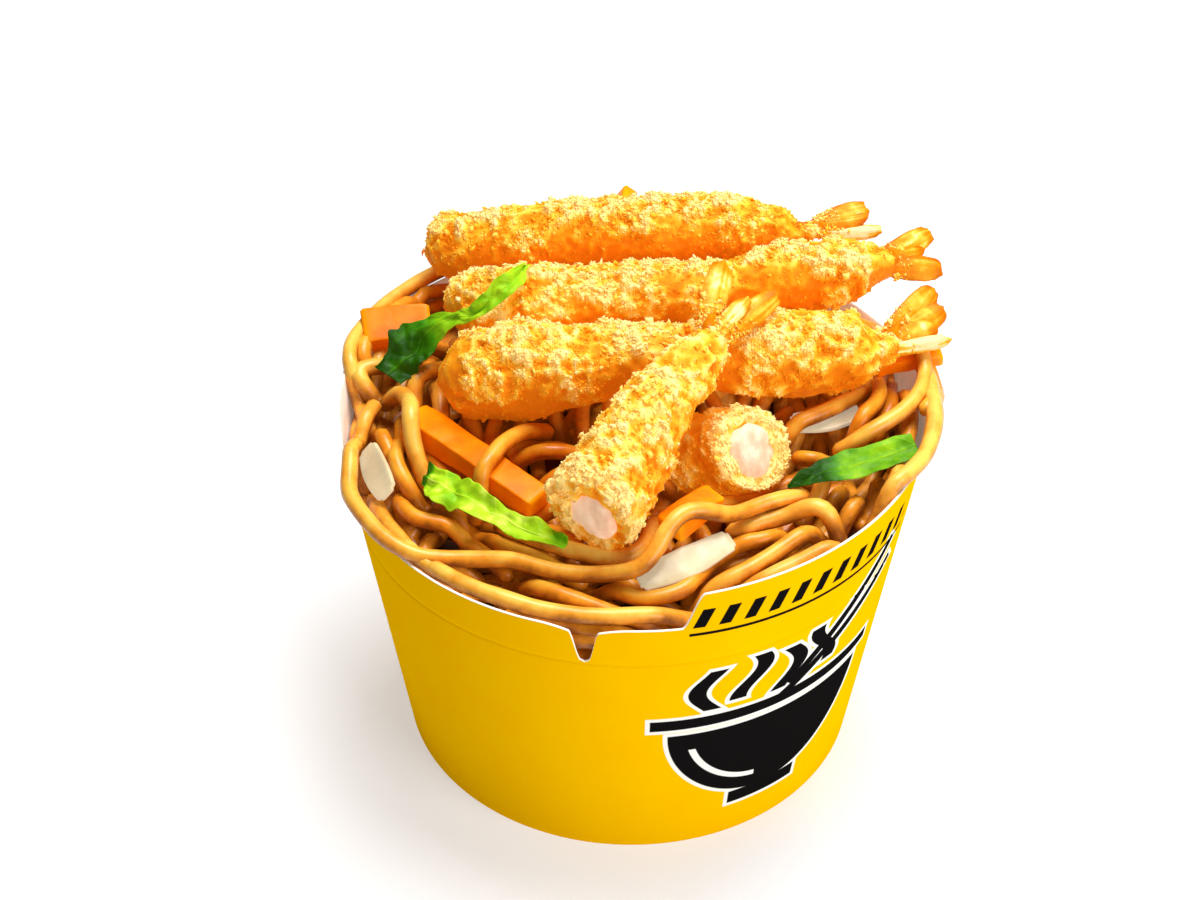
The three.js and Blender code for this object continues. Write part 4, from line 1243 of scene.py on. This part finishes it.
def makeCarrots():
    sides = 40
    # a faint orange glow is painted in as light through the carrot
    finish = Finish("carrot", (0.12, 255, 110, 0), Roughness=0.35, Specular_IOR_Level=0.12)
    value = finish.noise(4.5, 3, 0.5) * 0.7 + finish.number("core") * 0.4
    finish.color(finish.ramp(value, (0.2, 244, 112, 0), (0.5, 255, 140, 0), (0.8, 255, 170, 6)))
    finish.bump(finish.noise(0.9, 4, 0.6), 0.12, 0.6)
    for number, carrot in enumerate(carrots):
        route = evenly(np.array(carrot["ends"], float), 0.8)
        t = np.linspace(0, 1, len(route))
        route[:, 2] += np.sin(math.pi * t) * 0.5 - 0.3
        length = lengthAlong(route)
        soft = np.sqrt(np.clip(np.minimum(length, length[::-1]) / 0.8, 0.8, 1))
        width, depth = (size / 2 * (1.1 - 0.2 * t) * soft for size in carrot["size"])
        twist = np.degrees(0.25 * (t - 0.5)) + carrot["roll"]
        points, faces = loft(route, width, depth, sides, 12, -twist)
        relief = 0.35 * cloud(points, 6, number) + 0.12 * cloud(points, 1.8, number)
        points += unit(points - np.repeat(route, sides, axis=0)) * relief[:, None]
        values = {"core": np.repeat(np.abs(2 * t - 1) ** 6, sides)}
        makePiece("carrot" + str(number + 1), points, faces, [finish], [carrot["name"]], values)


makeCarrots()

# Leaf strips: their lines, widths at even steps, and where they are darker
leaves = [
    {
        "name": "leaf_1", "tilt": -44, "wave": 1.7, "curl": 0.9, "crumple": 2.8, "light": 0.58,
        "dark": (0.42, 0.0), "widths": [7, 10.5, 6.5, 5, 5, 6, 1.5],
        "route": [(-62, 6, 99.5), (-58, 11, 103.5), (-49, 13.5, 110), (-39, 12, 116.5), (-31, 15, 122),
                  (-27, 24, 122)],
    },
    {
        "name": "leaf_2", "tilt": -20, "wave": 2.4, "curl": 1.0, "crumple": 1.8, "light": 0.68,
        "dark": (0.04, 0.3), "widths": [5, 9.5, 8.5, 6, 5.5, 6.5, 3],
        "route": [(-50, -26, 93), (-41, -34, 93.5), (-29, -43, 93), (-15, -50, 91.5)],
    },
    {
        "name": "leaf_3", "tilt": -18, "wave": 0.8, "curl": 0.8, "crumple": 0.9, "light": 0.42,
        "dark": (0.5, 0.15), "widths": [0.8, 5, 7, 8.5, 8, 7.5, 6],
        "route": [(38, -31, 94.5), (46, -27.5, 96.5), (57, -25, 98), (69, -21, 100.5)],
    },
]


def leafPlace(leaf, route, seed):
    # where a leaf's point lies, from its share across (u) and along (v)
    share, reach = shareAlong(route), lengthAlong(route)[-1]
    columns = np.hstack([route, *crossings(route, leaf["tilt"])]).T

    def place(u, v):
        here = np.stack([np.interp(v, share, column) for column in columns], axis=1)
        middle, across, up = np.split(here, 3, axis=1)
        sign, fromRib = np.sign(u - 0.5), np.abs(2 * u - 1)
        edge = np.stack([v * reach, 9 * sign, 0 * v], axis=1)
        crumple = leaf["crumple"] * (1 - 0.65 * smoothStep(v, 0.15, 0.4))
        half = 0.5 * girthAt(leaf["widths"], v)
        half = half * (1 + 0.12 * cloud(edge, 3.5, seed) + 0.07 * crumple * cloud(edge, 1.6, seed + 1))
        frill = leaf["wave"] * fromRib**1.5 * cloud(edge, 4.2, seed + 2)
        spots = np.stack([v * reach, 10 * u, 0 * v], axis=1)
        folds = leaf["curl"] * (fromRib**2 - 0.4) + 0.35 * cloud(spots, 3, seed + 3)
        folds += crumple * (ridges(spots, 4.5, seed + 4) - 0.6 + 0.4 * cloud(spots, 2, seed + 5))
        shift = crumple * 0.8 * cloud(spots, 5, seed + 6)
        return middle + (sign * fromRib * half + shift)[:, None] * across + (frill + folds)[:, None] * up

    return place


def makeLeaves():
    # a faint green glow is painted in as light through the leaves
    finish = Finish("leaf", (0.06, 120, 190, 10), Roughness=0.45, Specular_IOR_Level=0.12)
    value = finish.number("light") + finish.noise(3, 3) * 0.5 - 0.25
    dark = [(0.02, 14, 58, 4), (0.3, 58, 128, 8), (0.55, 122, 184, 16)]
    finish.color(finish.ramp(value, *dark, (0.78, 176, 216, 30), (0.95, 222, 240, 96)))
    finish.bump(finish.number("vein") * 0.7 + finish.noise(0.9, 3) * 0.3, 0.3, 0.8)
    for number, leaf in enumerate(leaves):
        route = throughPoints(leaf["route"], 0.3)
        points, faces, u, v = sheet(leafPlace(leaf, route, 5.1 * number), 26, 130, 0.6)
        u, v = np.tile(u, 2), np.tile(v, 2)
        fromRib = np.abs(2 * u - 1)
        along = v * lengthAlong(route)[-1] / 4.5
        ribs = np.abs(((along + 0.8 * fromRib + 0.5 * cloud(points, 7, number)) % 1) - 0.5) * 2
        ribs = 0.4 * np.exp(-((ribs / 0.12) ** 2)) * (0.6 + cloud(points, 6, 3))
        vein = np.maximum(np.exp(-((fromRib / 0.06) ** 2)), ribs)
        early, late = leaf["dark"]
        shade = 0.6 * (1 - smoothStep(v, early * 0.4, early)) + late * smoothStep(v, 0.8, 1)
        light = leaf["light"] + 0.14 * v + 0.16 * vein - shade + 0.12 * cloud(points, 4, number)
        values = {"light": np.clip(light, 0, 1), "vein": vein}
        makePiece("leaf" + str(number + 1), points, faces, [finish], [leaf["name"]], values)


makeLeaves()

# Slices of onion
onions = [
    {"name": "onion_1", "width": 8, "tilt": 50,
     "route": [(-65.5, -15, 92.5), (-63, -22, 91.5), (-59, -30, 90)]},
    {"name": "onion_2", "width": 7.5, "tilt": 25, "route": [(2, -57, 87), (13, -52, 88.5), (24, -45, 90)]},
    {"name": "onion_3", "width": 8, "tilt": 10, "route": [(40, -6, 95), (49, -5, 96), (57, -2, 96.5)]},
]


def makeOnions():
    # a pale glow is painted in as light, lifting the onion out of its shade
    finish = Finish("onion", (0.32, 255, 244, 214), Roughness=0.25, Specular_IOR_Level=0.3)
    lines = finish.noise(7, 2, 0.5)
    finish.color(finish.ramp(lines, (0.3, 170, 146, 96), (0.5, 194, 174, 126), (0.75, 214, 202, 164)))
    finish.bump(lines, 0.2, 0.5)
    for number, onion in enumerate(onions):
        route = throughPoints(onion["route"], 0.5)
        t = shareAlong(route)
        half = 0.5 * onion["width"] * (0.6 + 0.4 * np.sin(math.pi * (0.1 + 0.8 * t)))
        soft = np.sqrt(np.clip(np.minimum(t, 1 - t) * len(t) * 0.5, 0.5, 1))
        points, faces = loft(route, half * soft, 0.75 * soft, 36, 5, -onion["tilt"])
        points[:, 2] += 0.25 * cloud(points, 5, number)
        makePiece("onion" + str(number + 1), points, faces, [finish], [onion["name"]])


makeOnions()
print("vegetables made")

# Floor, light and camera
studio = {
    "floor": 6.0,
    "paint": (0.6, 0.6, 0.62, 1),
    "sky": 0.04,
    "glow": 0.5,
    "lamps": [("top", (0.1, 0.18, 0.9), 0.5, 10.2), ("front", (0.66, -0.62, 0.5), 0.55, 6.4)],  # width, watts
    "aim": (0, 0, 0.08),
    "lens": 60.0,
    "camera": (0, -0.40595, 0.39733),  # metres from the tub's foot
    "turn": (52.10, 0, 1.13),
}


def makeStudio():
    scene = bpy.context.scene
    scene.view_settings.view_transform = "Standard"
    size = studio["floor"] / 2
    mesh = bpy.data.meshes.new("floor")
    corners = [(-size, -size, 0), (size, -size, 0), (size, size, 0), (-size, size, 0)]
    mesh.from_pydata(corners, [], [(0, 1, 2, 3)])
    floor = addObject("floor", mesh)
    finish = Finish("whiteFloor", (studio["glow"], 255, 255, 255), Roughness=0.9, Specular_IOR_Level=0.0)
    finish.shader.inputs["Base Color"].default_value = studio["paint"]
    mesh.materials.append(finish.material)
    world = bpy.data.worlds.new("sky")
    world.use_nodes = True
    sky = world.node_tree.nodes["Background"].inputs
    sky["Color"].default_value = (1, 1, 1, 1)
    sky["Strength"].default_value = studio["sky"]
    scene.world = world
    for name, spot, width, power in studio["lamps"]:
        lamp = bpy.data.lights.new(name, "AREA")
        lamp.energy = power
        lamp.size = width
        made = addObject(name, lamp)
        made.location = spot
        made.rotation_euler = (Vector(studio["aim"]) - Vector(spot)).to_track_quat("-Z", "Y").to_euler()
    camera = bpy.data.cameras.new("camera")
    camera.lens = studio["lens"]
    camera.sensor_width = 36
    made = addObject("camera", camera)
    made.location = Vector(tubMiddle / 1000) + Vector(studio["camera"])
    made.rotation_euler = [math.radians(angle) for angle in studio["turn"]]
    scene.camera = made


makeStudio()
print("studio set")
